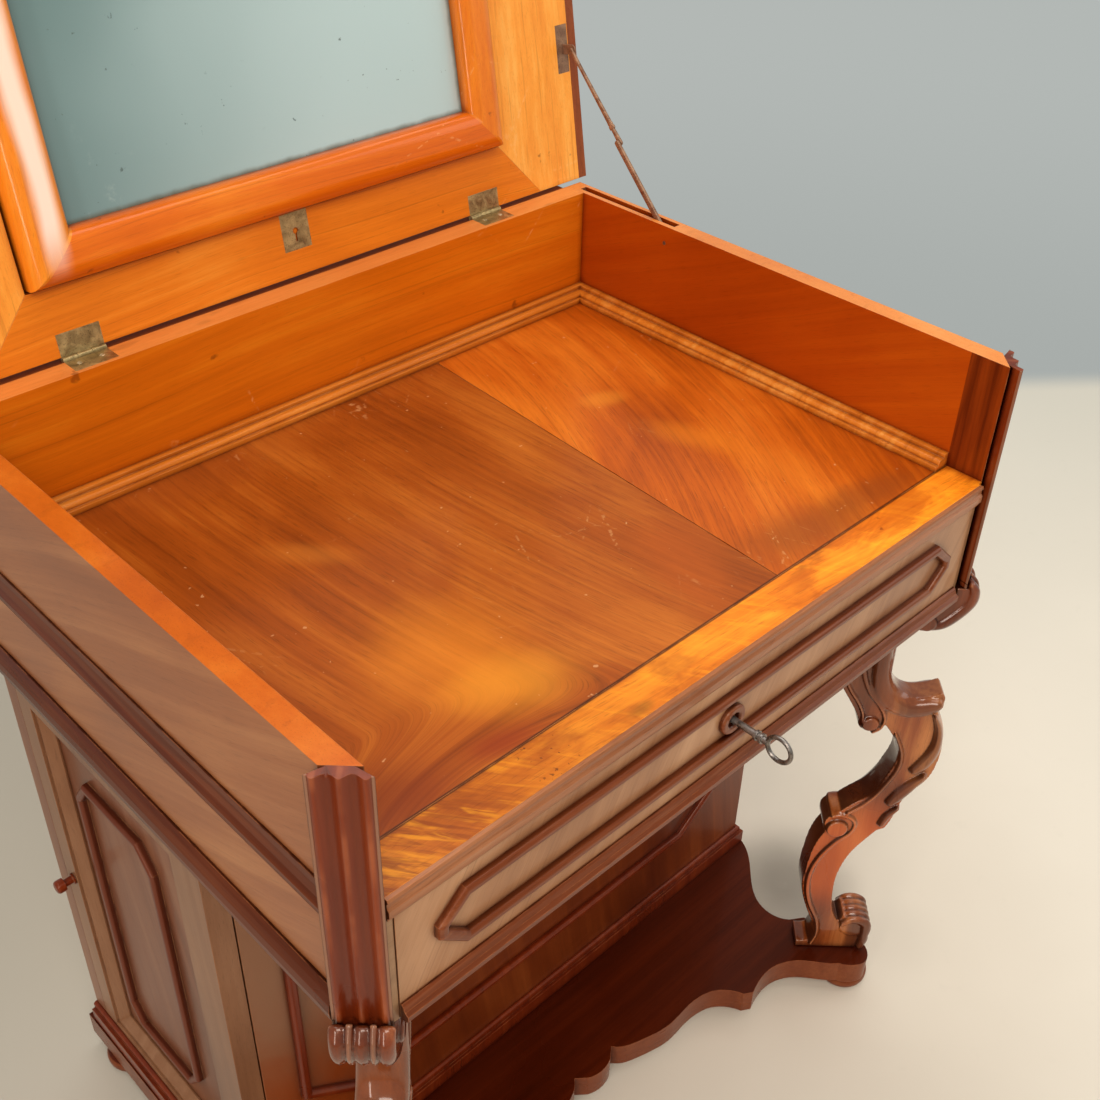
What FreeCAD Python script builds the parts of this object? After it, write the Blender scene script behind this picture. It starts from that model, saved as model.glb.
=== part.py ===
import FreeCAD, Part
import os
import re
import Sketcher

# A lift-top dressing table: a shallow case on two carved front legs and a rear cupboard,
# with a mirror in the lid. X runs along the width, the drawer faces -Y, Z is up from the floor.
# Lengths are millimetres. Depths are counted from the front of the case until a piece is placed.

SIZES = {
    # whole piece
    "origin_deep": 297.1,       # case front to the origin, under the middle of the open piece
    "foot_tall": 20,
    "platform_thick": 32,
    "leg_tall": 542,
    "case_tall": 248,
    "inner_half": 350,          # half the width of the well
    "side_thick": 19,
    "case_deep": 543,
    "rail_thick": 24,
    "fit_gap": 0.3,
    # well
    "well_drop": 118,
    "board_thick": 12,
    "strip_deep": 38,
    "ledge_drop": 4,
    "ledge_tall": 12,
    "ledge_deep": 17,
    "joint_front": 100,
    "joint_back": 126,
    "joint_gap": 0.8,
    "nose": 2,
    "wing_inset": 5,
    "cove_wide": 18,
    "cove_tall": 14,
    # face of the case
    "post_wide": 10.7,
    "front_thick": 20,
    "rail_tall": 9,
    "lip_proud": 4.5,
    "bottom_thick": 10,
    "bottom_inset": 20,
    "plinth_tall": 16,
    "plinth_proud": 8,
    "band_over": 9,
    "band_tall": 32,
    "band_proud": 6,
    "bead_tall": 32,
    "bead_proud": 8,
    "band_start": 26,
    # reeded corner posts and their carved brackets
    "reed_radius": 5.2,
    "reed_pitch": 15.5,
    "reed_seat": 7.8,
    "pilaster_rise": 11,
    "bracket_reach": 45,
    "bracket_drop": 43,
    "bracket_wide": 46,
    "bracket_eye": 9,
    # legs
    "leg_reach": 112,
    "leg_wide": 42,
    "tongue_wide": 36,
    "upper_eye": 9,
    "lower_eye": 15,
    "paw_radius": 17,
    "eye_proud": 2,
    # platform, feet and base
    "platform_out": 4,
    "platform_behind": 7,
    "foot_radius": 29,
    "foot_round": 9,
    "front_foot_in": 35,
    "front_foot_deep": 17,
    "back_foot_in": 24,
    "back_foot_ahead": 43,
    "base_tall": 18,
    "base_step_tall": 9,
    "base_proud": 8,
    "base_step_proud": 4.5,
    # cupboard
    "cabinet_in": 5.5,
    "cabinet_ahead": 217,
    "cabinet_short": 3,
    "cabinet_wall": 18,
    "cabinet_back_thick": 8,
    "shelf_rise": 310,
    "shelf_thick": 12,
    "panel_in": 59.5,
    "panel_low": 100,
    "panel_under": 34,
    "panel_cut_wide": 60,
    "panel_cut_tall": 50,
    "bead_wide": 10,
    "panel_proud": 7,
    # door in the left side
    "door_thick": 22,
    "post_back": 21,
    "door_low": 28,
    "door_drop": 14,
    "door_gap": 0.5,
    "stile_front": 45,
    "stile_back": 25,
    "door_top_rail": 24,
    "door_low_rail": 6,
    "cove_in": 11,
    "cove_sunk": 3,
    "panel_sunk": 14,
    "panel_thick": 6,
    "octagon_front": 109,
    "octagon_back": 59,
    "octagon_low": 48,
    "octagon_high": 87,
    "octagon_cut_deep": 20,
    "octagon_cut_tall": 27,
    "octagon_wide": 9,
    "octagon_proud": 7.5,
    "pivot_inset": 6,
    "pivot_radius": 3,
    "pivot_long": 10,
    "swing_gap": 17.4,
    "turn_radius": 3,
    "turn_gap": 0.06,
    "knob_rise": 266,
    "knob_back": 16,
    "knob_radius": 7,
    "knob_stem": 4,
    "knob_proud": 20,
    "knob_head": 9,
    "cam_long": 24,
    "cam_half": 6,
    "cam_thick": 4,
    # drawer
    "drawer_short": 56,
    "drawer_in": 25,
    "drawer_under": 24,
    "drawer_wall": 10,
    "drawer_floor_thick": 6,
    "drawer_floor_rise": 6,
    "guide_tall": 20,
    "front_panel_in": 43,
    "front_panel_under": 15,
    "front_panel_rise": 38,
    "front_panel_cut_wide": 24,
    "front_panel_cut_tall": 22,
    "strip_wide": 9,
    "strip_proud": 7,
    # lock, key and bolt
    "key_under": 46,
    "shank_radius": 3,
    "shank_out": 41,
    "shank_in": 27,
    "collar_radius": 4.5,
    "collar_thick": 2.5,
    "collar_out": 29,
    "collar_step": 5,
    "bow_radius": 11.3,
    "bow_wire": 2,
    "ring_radius": 14,
    "ring_hole": 6.5,
    "ring_proud": 5,
    "lock_half": 25,
    "lock_thick": 12,
    "lock_tall": 64,
    "bolt_half": 8,
    "bolt_thick": 6,
    "bolt_long": 24,
    "bolt_gap": 0.5,
    "bolt_set": 3,
    # lid, drawn shut about its hinge line
    "hinge_behind": 3,
    "lid_open": 99.5,           # degrees from shut to the open rest
    "lid_ahead": 15,
    "lid_out": 2,
    "lid_thick": 20,
    "lid_lift": 0.3,
    "mitre_in": 58,
    "opening_in": 111,
    "opening_low": 62.5,
    "opening_under": 59.5,
    "panel_board": 8,
    "edge_out": 17,
    "edge_step": 11,
    "edge_low": 7,
    "edge_round": 5,
    "apron_thick": 30,
    "apron_inset": 2,
    "apron_clear": 0.8,
    "apron_end": 0.5,
    "apron_panel_high": 26,
    "apron_panel_rise": 26,
    # mirror flap in the lid
    "frame_gap": 2.5,
    "frame_top_gap": 5,
    "frame_wide": 43,
    "frame_proud": 22,
    "frame_deep": 8,
    "frame_outer_round": 17,
    "frame_inner_round": 12,
    "glass_thick": 3,
    "glass_sunk": 18,
    "rebate": 6,
    "mirror_pin_radius": 2,
    "mirror_pin_long": 22,
    "mirror_pin_drop": 6,
    "mirror_pin_deep": 3.5,
    "pin_gap": 0.05,
    "lock_plate_left": 12,
    "lock_plate_right": 18,
    "lock_plate_low": 27,
    "lock_plate_tall": 35,
    "plate_thick": 1.5,
    "keyhole_radius": 3,
    "keyhole_slot": 2,
    "keyhole_long": 10,
    # butt hinges
    "hinge_long": 40,
    "hinge_leaf": 20,
    "knuckle_radius": 3,
    "knuckle_share": 0.325,
    "hinge_right_in": 138,
    "hinge_left_in": 105,
    "hinge_pin": 1.5,
    # stay
    "stay_in": 5.7,             # inner face of the side to the slot
    "slot_wide": 8.4,
    "slot_front_in": 150,
    "slot_back_in": 14,
    "slot_deep": 28,
    "foot_in": 142.7,
    "foot_drop": 18.4,
    "arm_long": 114.1,
    "arm_rise": 45.5,           # degrees above level with the lid open
    "arm_half": 3.5,
    "arm_thick": 2,
    "arm_eye": 5,
    "arm_gap": 0.2,
    "rivet_thick": 1.8,
    "rivet_radius": 5.5,
    "stay_pin": 2,
    "plate_up": 116,
    "plate_long": 48,
    "plate_wide": 16,
    "plate_in": 1,
    "lug_thick": 1.6,
    "head_up": 139.8,
    "head_out": 13.2,
}

# Places and lengths that follow from the sizes above.
DERIVED = {
    "platform_top": "foot_tall + platform_thick",
    "case_low": "platform_top + leg_tall",
    "case_top": "case_low + case_tall",
    "case_half": "inner_half + side_thick",
    "corner_seat": "side_thick * 0.5 ^ 0.5",
    "well_back": "case_deep - rail_thick",
    "well_top": "case_top - well_drop",
    "platform_half": "case_half + platform_out",
    "platform_deep": "case_deep + platform_behind",
    "front_foot_half": "platform_half - front_foot_in",
    "back_foot_half": "platform_half - back_foot_in",
    "back_foot_deep": "platform_deep - back_foot_ahead",
    "cabinet_half": "case_half - cabinet_in",
    "cabinet_deep": "case_deep - cabinet_short",
    "panel_half": "cabinet_half - panel_in",
    "panel_high": "leg_tall - panel_under",
    "door_back": "cabinet_deep - post_back",
    "drawer_half": "inner_half - drawer_in",
    "drawer_long": "well_back - drawer_short",
    "drawer_tall": "case_tall - front_drop - drawer_under",
    "front_panel_half": "inner_half - front_panel_in",
    "front_panel_low": "case_tall - front_panel_rise",
    "front_panel_high": "front_drop + front_panel_under",
    "key_drop": "front_drop + key_under",
    "front_drop": "well_drop + board_thick + rail_tall",
    "band_drop": "well_drop - band_over",
    "lid_half": "case_half + lid_out",
    "lid_long": "case_deep + lid_ahead",
    "mitre_out": "lid_half - mitre_in",
    "opening_half": "lid_half - opening_in",
    "opening_high": "lid_long - opening_under",
    "apron_panel_low": "well_drop - apron_panel_rise",
    "hinge_right": "inner_half - hinge_right_in",
    "hinge_left": "inner_half - hinge_left_in",
    "slot_front": "case_deep - slot_front_in",
    "slot_back": "case_deep - slot_back_in",
    "foot_deep": "case_deep - foot_in",
    "well_low": "well_top - board_thick",
    "front_top": "case_top - front_drop",
    "nose_half": "inner_half - wing_inset",
    "post_in": "inner_half - post_wide",
    "front_half": "post_in - fit_gap * 2",
    "face": "-nose - fit_gap * 3",
    "drawer_front_top": "front_top - fit_gap",
    "case_floor": "case_low + bottom_thick",
    "drawer_low": "case_floor + fit_gap",
    "front_low": "case_low + fit_gap * 2",
    "drawer_start": "face + front_thick",
    "drawer_end": "drawer_start + drawer_long",
    "pilaster_low": "case_low + pilaster_rise + fit_gap",
    "key_rise": "case_top - key_drop",
    "door_bottom": "platform_top + door_low",
    "door_top": "case_low - door_drop",
    "door_front": "cabinet_ahead + door_gap",
    "door_end": "door_back - door_gap",
    "door_inner": "cabinet_half - door_thick",
    "opening_front": "cabinet_ahead + stile_front",
    "opening_back": "door_back - stile_back",
    "opening_floor": "door_bottom + door_low_rail",
    "opening_top": "door_top - door_top_rail",
    "board_left": "cabinet_half - pivot_inset - swing_gap",
    "pivot_x": "cabinet_half - pivot_inset",
    "pivot_y": "cabinet_ahead + pivot_inset",
    "knob_y": "door_back - knob_back",
    "knob_z": "platform_top + knob_rise",
    "panel_face": "cabinet_half - panel_sunk",
    "hinge_y": "case_deep + hinge_behind",
    "lid_face": "lid_lift + lid_thick",
    "apron_front": "hinge_y - apron_inset",
    "flap_half": "opening_half - frame_gap",
    "flap_low": "opening_low + frame_gap",
    "flap_high": "opening_high - frame_top_gap",
    "glass_half": "flap_half - frame_wide",
    "glass_low": "flap_low + frame_wide",
    "glass_high": "flap_high - frame_wide",
    "glass_front": "glass_sunk - frame_proud",
    "slot_in": "inner_half + stay_in",
    "lower_in": "slot_in + rivet_thick + fit_gap",
    "upper_in": "lower_in + arm_thick + arm_gap",
    "lug_in": "upper_in + arm_thick + arm_gap",
    "foot_y": "foot_deep",
    "foot_z": "case_top - foot_drop",
    "mid_y": "foot_y + arm_long * cos(arm_rise * 1deg)",
    "mid_z": "foot_z + arm_long * sin(arm_rise * 1deg)",
    "head_y": "hinge_y - head_up * cos(lid_open * 1deg) - head_out * sin(lid_open * 1deg)",
    "head_z": "case_top + head_up * sin(lid_open * 1deg) - head_out * cos(lid_open * 1deg)",
    "upper_long": "((mid_y - head_y) ^ 2 + (mid_z - head_z) ^ 2) ^ 0.5",
}

# Carved outlines, as shares of the reach (along) and the height (up) of the piece.
# Each row is one stretch: two points are a straight, more are a smooth curve through them.
LEG_SHARES = [
    [(-1.000, 1.000), (-0.991, 0.867), (-0.973, 0.799), (-0.893, 0.762), (-0.795, 0.727),
     (-0.705, 0.686)],
    [(-0.705, 0.686), (-0.634, 0.664), (-0.536, 0.675)],
    [(-0.536, 0.675), (-0.464, 0.681)],
    [(-0.464, 0.681), (-0.375, 0.655), (-0.295, 0.624), (-0.268, 0.600), (-0.277, 0.572),
     (-0.321, 0.542), (-0.438, 0.485), (-0.562, 0.461), (-0.688, 0.435)],
    [(-0.688, 0.435), (-0.830, 0.406), (-0.804, 0.373)],
    [(-0.804, 0.373), (-0.884, 0.327), (-0.920, 0.268), (-0.929, 0.205), (-0.866, 0.149),
     (-0.777, 0.100), (-0.688, 0.061)],
    [(-0.688, 0.061), (-0.679, 0.037), (-0.750, 0.022), (-0.875, 0.020)],
    [(-0.875, 0.020), (-0.875, 0.000)],
    [(-0.875, 0.000), (-0.196, 0.000)],
    [(-0.196, 0.000), (-0.143, 0.026), (-0.121, 0.055), (-0.125, 0.081), (-0.179, 0.100),
     (-0.268, 0.111), (-0.375, 0.109), (-0.446, 0.098), (-0.482, 0.089)],
    [(-0.482, 0.089), (-0.554, 0.122), (-0.589, 0.170), (-0.598, 0.218), (-0.571, 0.262),
     (-0.500, 0.310), (-0.393, 0.349), (-0.295, 0.380)],
    [(-0.295, 0.380), (-0.223, 0.387)],
    [(-0.223, 0.387), (-0.152, 0.437), (-0.089, 0.483), (0.027, 0.517), (0.089, 0.541),
     (0.125, 0.576), (0.134, 0.607), (0.116, 0.646), (0.062, 0.685), (0.000, 0.720)],
    [(0.000, 0.720), (-0.179, 0.723), (-0.357, 0.738), (-0.473, 0.771), (-0.509, 0.821)],
    [(-0.509, 0.821), (-0.509, 1.000)],
    [(-0.509, 1.000), (-1.000, 1.000)],
]
TONGUE_SHARES = [
    [(-0.714, 1.000), (-0.732, 0.839), (-0.705, 0.792), (-0.625, 0.753), (-0.527, 0.723),
     (-0.402, 0.705), (-0.277, 0.697), (-0.152, 0.701), (-0.054, 0.712), (0.027, 0.727)],
    [(0.027, 0.727), (0.054, 0.742), (0.018, 0.758)],
    [(0.018, 0.758), (-0.089, 0.749), (-0.223, 0.745), (-0.357, 0.753), (-0.446, 0.771),
     (-0.491, 0.806)],
    [(-0.491, 0.806), (-0.509, 1.000)],
    [(-0.509, 1.000), (-0.714, 1.000)],
]
UPPER_EYE_SHARES = (-0.616, 0.682)
LOWER_EYE_SHARES = (-0.700, 0.399)
PAW_SHARES = (-0.295, 0.074)
BRACKET_SHARES = [
    [(0.178, 0.000), (-0.058, 0.250)],
    [(-0.058, 0.250), (-0.293, 0.250)],
    [(-0.293, 0.250), (-0.293, 0.000)],
    [(-0.293, 0.000), (-1.022, 0.000)],
    [(-1.022, 0.000), (-1.044, -0.860)],
    [(-1.044, -0.860), (-0.800, -1.000), (-0.578, -0.953)],
    [(-0.578, -0.953), (-0.422, -0.767), (-0.244, -0.558), (-0.089, -0.256), (0.178, 0.000)],
]
BRACKET_EYE_SHARES = (-0.770, -0.740)
# Front of the platform from the middle to the right, as shares of its half width and of the
# distance from the case front back to the cupboard.
PLATFORM_SHARES = [
    [(0.000, 0.465), (0.024, 0.470), (0.046, 0.484)],
    [(0.046, 0.484), (0.078, 0.530)],
    [(0.078, 0.530), (0.108, 0.484), (0.148, 0.456), (0.213, 0.424), (0.264, 0.410),
     (0.340, 0.419), (0.399, 0.415), (0.447, 0.392), (0.485, 0.341), (0.512, 0.263)],
    [(0.512, 0.263), (0.539, 0.235)],
    [(0.539, 0.235), (0.598, 0.263), (0.644, 0.267), (0.695, 0.244), (0.736, 0.198),
     (0.765, 0.143), (0.825, 0.028)],
    [(0.825, 0.028), (0.857, -0.037), (0.895, -0.060), (0.938, -0.009), (0.949, 0.092),
     (0.922, 0.230), (0.887, 0.355)],
    [(0.887, 0.355), (0.846, 0.401)],
    [(0.846, 0.401), (0.819, 0.507), (0.827, 0.599), (0.868, 0.705), (0.930, 0.806),
     (0.984, 0.922), (1.000, 1.000)],
]
CHAMFER_SHARE = 0.586
# Moulding profiles, as shares of how far the moulding stands out and of its height from its top
# or its foot.
LIP_SHARES = [(0.0, 1.0), (0.55, 1.0), (0.55, 0.88), (1.0, 0.8), (1.0, 0.5), (0.6, 0.38), (0.6, 0.2),
              (0.9, 0.12), (0.7, 0.0), (0.0, 0.0)]
BAND_SHARES = [(0.0, 0.0), (0.3, 0.0), (0.35, 0.2), (0.6, 0.45), (1.0, 0.62), (1.0, 0.74), (0.6, 0.79),
               (0.75, 0.88), (0.5, 1.0), (0.0, 1.0)]
BEAD_SHARES = [(0.0, 0.0), (0.55, 0.0), (0.9, 0.16), (1.0, 0.38), (0.9, 0.6), (0.6, 0.82), (0.25, 1.0),
               (0.0, 1.0)]
PLINTH_SHARES = [(0.0, 0.0), (0.6, 0.0), (1.0, 0.2), (1.0, 0.5), (0.6, 0.62), (0.4, 0.9), (0.2, 1.0),
                 (0.0, 1.0)]
# Steps of the well moulding: where each starts, how wide and how tall it is.
COVE_SHARES = {"low": (0.0, 1.0, 0.36), "middle": (0.36, 0.8, 0.36), "high": (0.72, 0.36, 0.28)}
COVE_ROUND_SHARE = 0.3
BEAD_ROUND_SHARE = 0.4
BASE_ROUND_SHARE = 0.8
BEVEL_SHARE = 0.8
KNOB_ROUND_SHARE = 0.35
ROSE_SHARE = 0.85
# Core of a reeded post: how far in its face lies, and how far it runs past the outer reeds.
REED_CORE_SHARES = (0.93, 0.3)

os.makedirs("parts", exist_ok=True)
doc = FreeCAD.newDocument("dressing_table")
sheet = doc.addObject("Spreadsheet::Sheet", "sizes")
for row, (alias, value) in enumerate(SIZES.items(), 1):
    sheet.set("A%d" % row, alias)
    sheet.set("B%d" % row, str(value))
    sheet.setAlias("B%d" % row, alias)
doc.recompute()

V = FreeCAD.Vector
PIECES = []
WORD = re.compile(r"[a-z][a-z_]*")


def bound(text):
    """Write a size formula with every named size pointing at its cell."""
    def place(match):
        word = match.group()
        if word in DERIVED:
            return "(" + bound(DERIVED[word]) + ")"
        if word in SIZES:
            return "sizes." + word
        return word
    return WORD.sub(place, text)


def number(text):
    """Value of a size formula."""
    return float(sheet.evalExpression(bound(text)))


def piece(kind, name):
    """A sub-part of its own, placed over the origin."""
    made = doc.addObject(kind, name)
    made.Label = name
    PIECES.append(made)
    return made


def seat(made, across="0", ahead="0", above="0"):
    """Put a piece at a place counted from the case front."""
    made.setExpression("Placement.Base.x", bound(across))
    made.setExpression("Placement.Base.y", bound("%s - origin_deep" % ahead))
    made.setExpression("Placement.Base.z", bound(above))


def turn(made, axis, angle):
    """Turn a piece about one axis; the angle is a formula in degrees."""
    made.Placement.Rotation = FreeCAD.Rotation(axis, 1)
    made.setExpression("Placement.Rotation.Angle", bound("(%s) * 1deg" % angle))


def new_body(name):
    body = piece("PartDesign::Body", name)
    if hasattr(body, "AllowCompound"):
        body.AllowCompound = True
    seat(body)
    return body


def origin_plane(body, role):
    for feature in body.Origin.OriginFeatures:
        if feature.Role == role:
            return feature
    raise ValueError(role)


def draw_polygon(sketch, points):
    """Straight outline whose corners follow their formulas."""
    first = sketch.GeometryCount
    corners = [V(number(across), number(up), 0) for across, up in points]
    for i, corner in enumerate(corners):
        following = corners[(i + 1) % len(corners)]
        sketch.addGeometry(Part.LineSegment(corner, following), False)
    for i in range(len(corners)):
        joined = Sketcher.Constraint("Coincident", first + i, 2, first + (i + 1) % len(corners), 1)
        sketch.addConstraint(joined)
    for i, (across, up) in enumerate(points):
        pin_point(sketch, first + i, 1, across, up)


def draw_circle(sketch, across, up, radius):
    centre = V(number(across), number(up), 0)
    circle = sketch.addGeometry(Part.Circle(centre, V(0, 0, 1), number(radius)), False)
    pin_point(sketch, circle, 3, across, up)
    held = sketch.addConstraint(Sketcher.Constraint("Radius", circle, number(radius)))
    sketch.setExpression("Constraints[%d]" % held, bound(radius))


def pin_point(sketch, index, end, across, up):
    for kind, text in (("DistanceX", across), ("DistanceY", up)):
        held = sketch.addConstraint(Sketcher.Constraint(kind, -1, 1, index, end, number(text)))
        sketch.setExpression("Constraints[%d]" % held, bound(text))


def outline_sketch(body, name, plane, loops, start):
    """Sketch on one of the body's own planes, at a height of its own above that plane."""
    sketch = body.newObject("Sketcher::SketchObject", name)
    sketch.AttachmentSupport = (origin_plane(body, plane + "_Plane"), [""])
    sketch.MapMode = "FlatFace"
    for loop in loops:
        if loop[0] == "circle":
            draw_circle(sketch, *loop[1:])
        else:
            draw_polygon(sketch, loop)
    sign = "-" if plane == "XZ" else ""
    sketch.setExpression("AttachmentOffset.Base.z", bound("%s(%s)" % (sign, start)))
    return sketch


def pad(body, plane, loops, start, length, name="pad"):
    """Grow a solid from start by length, along +X, +Y or +Z as the plane's normal is."""
    stem = "%s_%s" % (body.Name, name)
    sketch = outline_sketch(body, stem + "_outline", plane, loops, start)
    grown = body.newObject("PartDesign::Pad", stem)
    grown.Profile = sketch
    grown.setExpression("Length", bound(length))
    grown.Reversed = plane == "XZ"
    return grown


def pocket(body, plane, loops, start, length, name="pocket"):
    """Cut from start by length, the same way as pad grows."""
    doc.recompute()
    before = body.Shape.Volume
    stem = "%s_%s" % (body.Name, name)
    sketch = outline_sketch(body, stem + "_outline", plane, loops, start)
    taken = body.newObject("PartDesign::Pocket", stem)
    taken.Profile = sketch
    taken.setExpression("Length", bound(length))
    taken.Reversed = plane != "XZ"
    doc.recompute()
    if body.Shape.Volume >= before:
        raise RuntimeError(stem + " cuts nothing")
    return taken


def dress(body, kind, chosen, size, name):
    """Round or chamfer the edges that the test picks by their bounding boxes."""
    doc.recompute()
    base = body.Tip
    edges = []
    for i, edge in enumerate(base.Shape.Edges, 1):
        if chosen(edge.BoundBox):
            edges.append("Edge%d" % i)
    if not edges:
        raise RuntimeError("no edges for " + name)
    dressed = body.newObject("PartDesign::" + kind, "%s_%s" % (body.Name, name))
    dressed.Base = (base, edges)
    dressed.setExpression("Radius" if kind == "Fillet" else "Size", bound(size))
    return dressed


def near(value, text):
    """Whether a coordinate lies on a named place."""
    return abs(value - number(text)) < number("fit_gap") * 0.1


def flush(low, high, text):
    """Whether an edge lies flat on a named level."""
    return near(low, text) and near(high, text)


def rectangle(left, low, right, high):
    return [(left, low), (right, low), (right, high), (left, high)]


def octagon(left, low, right, high, cut_across, cut_up):
    return [
        ("%s + %s" % (left, cut_across), low),
        ("%s - (%s)" % (right, cut_across), low),
        (right, "%s + %s" % (low, cut_up)),
        (right, "%s - (%s)" % (high, cut_up)),
        ("%s - (%s)" % (right, cut_across), high),
        ("%s + %s" % (left, cut_across), high),
        (left, "%s - (%s)" % (high, cut_up)),
        (left, "%s + %s" % (low, cut_up)),
    ]


def octagon_ring(left, low, right, high, cut_across, cut_up, wide):
    """Outer and inner outline of a raised moulding with cut corners."""
    inset = "%s * %s" % (wide, CHAMFER_SHARE)
    inner = octagon(
        "(%s + %s)" % (left, wide), "(%s + %s)" % (low, wide),
        "(%s - %s)" % (right, wide), "(%s - %s)" % (high, wide),
        "(%s - %s)" % (cut_across, inset), "(%s - %s)" % (cut_up, inset),
    )
    return [octagon(left, low, right, high, cut_across, cut_up), inner]


def signed(sign, text):
    return text if sign > 0 else "-(%s)" % text


def span(sign, inner, outer):
    """Start and length of a run that lies on one side of the middle."""
    start = inner if sign > 0 else "-(%s)" % outer
    return start, "(%s) - (%s)" % (outer, inner)


def flank(sign, points):
    """Points drawn for the right side, put on the side that sign names."""
    return [(signed(sign, across), up) for across, up in points]


def moulding(seat_at, proud, level, tall, shares):
    """Profile that stands out from a face, from shares of its depth and height."""
    return [
        ("%s + (%s) * %s" % (seat_at, proud, out), "%s + (%s) * %s" % (level, tall, up))
        for out, up in shares
    ]


def curve_wire(shares, reach, height):
    """Closed wire of straights and smooth curves, in the XZ plane."""
    edges = []
    for stretch in shares:
        points = [V(along * reach, 0, up * height) for along, up in stretch]
        if len(points) == 2:
            edges.append(Part.LineSegment(points[0], points[1]).toShape())
        elif len(points) == 3:
            edges.append(Part.Arc(points[0], points[1], points[2]).toShape())
        else:
            curve = Part.BSplineCurve()
            curve.interpolate(points)
            edges.append(curve.toShape())
    return Part.Wire(edges)


def slab(wire, thick):
    """Solid of a flat outline, half its thickness each side of the XZ plane."""
    face = Part.Face(wire)
    face.translate(V(0, -thick / 2, 0))
    return face.extrude(V(0, thick, 0))


def cross_roll(place, radius, wide):
    """Round bar across the carved plane."""
    start = V(place[0], -wide / 2, place[1])
    return Part.makeCylinder(radius, wide, start, V(0, 1, 0))


def corner_piece(name, sign, shape, above):
    """Carved piece in the upright plane that cuts a front corner at 45 degrees."""
    made = piece("Part::Feature", name)
    made.Shape = shape
    turned = FreeCAD.Rotation(V(0, 0, 1), -45 if sign > 0 else -135)
    place = V(sign * number("case_half"), -number("origin_deep"), number(above))
    made.Placement = FreeCAD.Placement(place, turned)


# Case

def case_side(name, sign):
    """Side panel with its front edge cut at 45 degrees for the corner post."""
    body = new_body(name)
    corners = [
        ("inner_half", "0"),
        ("case_half", "side_thick"),
        ("case_half", "case_deep"),
        ("inner_half", "case_deep"),
    ]
    pad(body, "XY", [flank(sign, corners)], "case_low", "case_tall")
    return body


def slot_side(body):
    """Slot in the top edge that takes the folded stay, and the hole for its lower pin."""
    slot = rectangle("slot_in", "slot_front", "slot_in + slot_wide", "slot_back")
    pocket(body, "XY", [slot], "case_top - slot_deep", "slot_deep", "slot")
    hole = ("circle", "foot_y", "foot_z", "stay_pin + pin_gap")
    pocket(body, "YZ", [hole], "inner_half", "stay_in", "pin_hole")


def back_board():
    """Back of the well, with a ledge behind it under the hinge knuckles."""
    body = new_body("back_board")
    board = rectangle("-inner_half", "well_back", "inner_half", "case_deep")
    pad(body, "XY", [board], "case_low", "case_tall")
    ledge = rectangle("-inner_half", "case_deep", "inner_half", "case_deep + ledge_deep")
    pad(body, "XY", [ledge], "case_top - ledge_drop - ledge_tall", "ledge_tall", "ledge")
    leaves = []
    for left in HINGE_LEFTS:
        leaves.append(rectangle(left, "case_deep - hinge_leaf", left + " + hinge_long", "case_deep"))
    pocket(body, "XY", leaves, "case_top - plate_thick", "plate_thick", "leaf_seats")


def well_board(name, sign):
    """One of the two boards of the well floor; their joint runs slightly askew."""
    body = new_body(name)
    gap = "joint_gap / 2" if sign > 0 else "-joint_gap / 2"
    board = [
        ("joint_front + " + gap, "strip_deep"),
        (signed(sign, "inner_half"), "strip_deep"),
        (signed(sign, "inner_half"), "well_back"),
        ("joint_back + " + gap, "well_back"),
    ]
    pad(body, "XY", [board], "well_low", "board_thick")


def well_moulding():
    """Stepped moulding along the back and both sides of the well floor."""
    body = new_body("well_moulding")
    for name, (rise_share, wide_share, tall_share) in COVE_SHARES.items():
        wide = "cove_wide * %s" % wide_share
        edge = [
            ("-inner_half", "strip_deep"),
            ("-(inner_half - %s)" % wide, "strip_deep"),
            ("-(inner_half - %s)" % wide, "well_back - " + wide),
            ("inner_half - " + wide, "well_back - " + wide),
            ("inner_half - " + wide, "strip_deep"),
            ("inner_half", "strip_deep"),
            ("inner_half", "well_back"),
            ("-inner_half", "well_back"),
        ]
        rise = "well_top + cove_tall * %s" % rise_share
        pad(body, "XY", [edge], rise, "cove_tall * %s" % tall_share, name)
    top_share = COVE_SHARES["high"][0]
    nose_at = number("inner_half - cove_wide * %s" % COVE_SHARES["middle"][1]) + number("fit_gap")

    def middle_edge(box):
        level = "well_top + cove_tall * %s" % top_share
        flat = near(box.ZMin, level) and near(box.ZMax, level)
        return flat and box.XMin > -nose_at and box.XMax < nose_at
    dress(body, "Fillet", middle_edge, "cove_tall * %s" % COVE_ROUND_SHARE, "round")


def strip_outline():
    """Outline of the pieces behind the drawer's top line, between the corner posts."""
    return [
        ("-inner_half", "0"),
        ("-nose_half", "0"),
        ("-nose_half", "-nose"),
        ("nose_half", "-nose"),
        ("nose_half", "0"),
        ("inner_half", "0"),
        ("inner_half", "strip_deep"),
        ("-inner_half", "strip_deep"),
    ]


def front_strip():
    body = new_body("front_strip")
    pad(body, "XY", [strip_outline()], "well_low", "board_thick")


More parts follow.
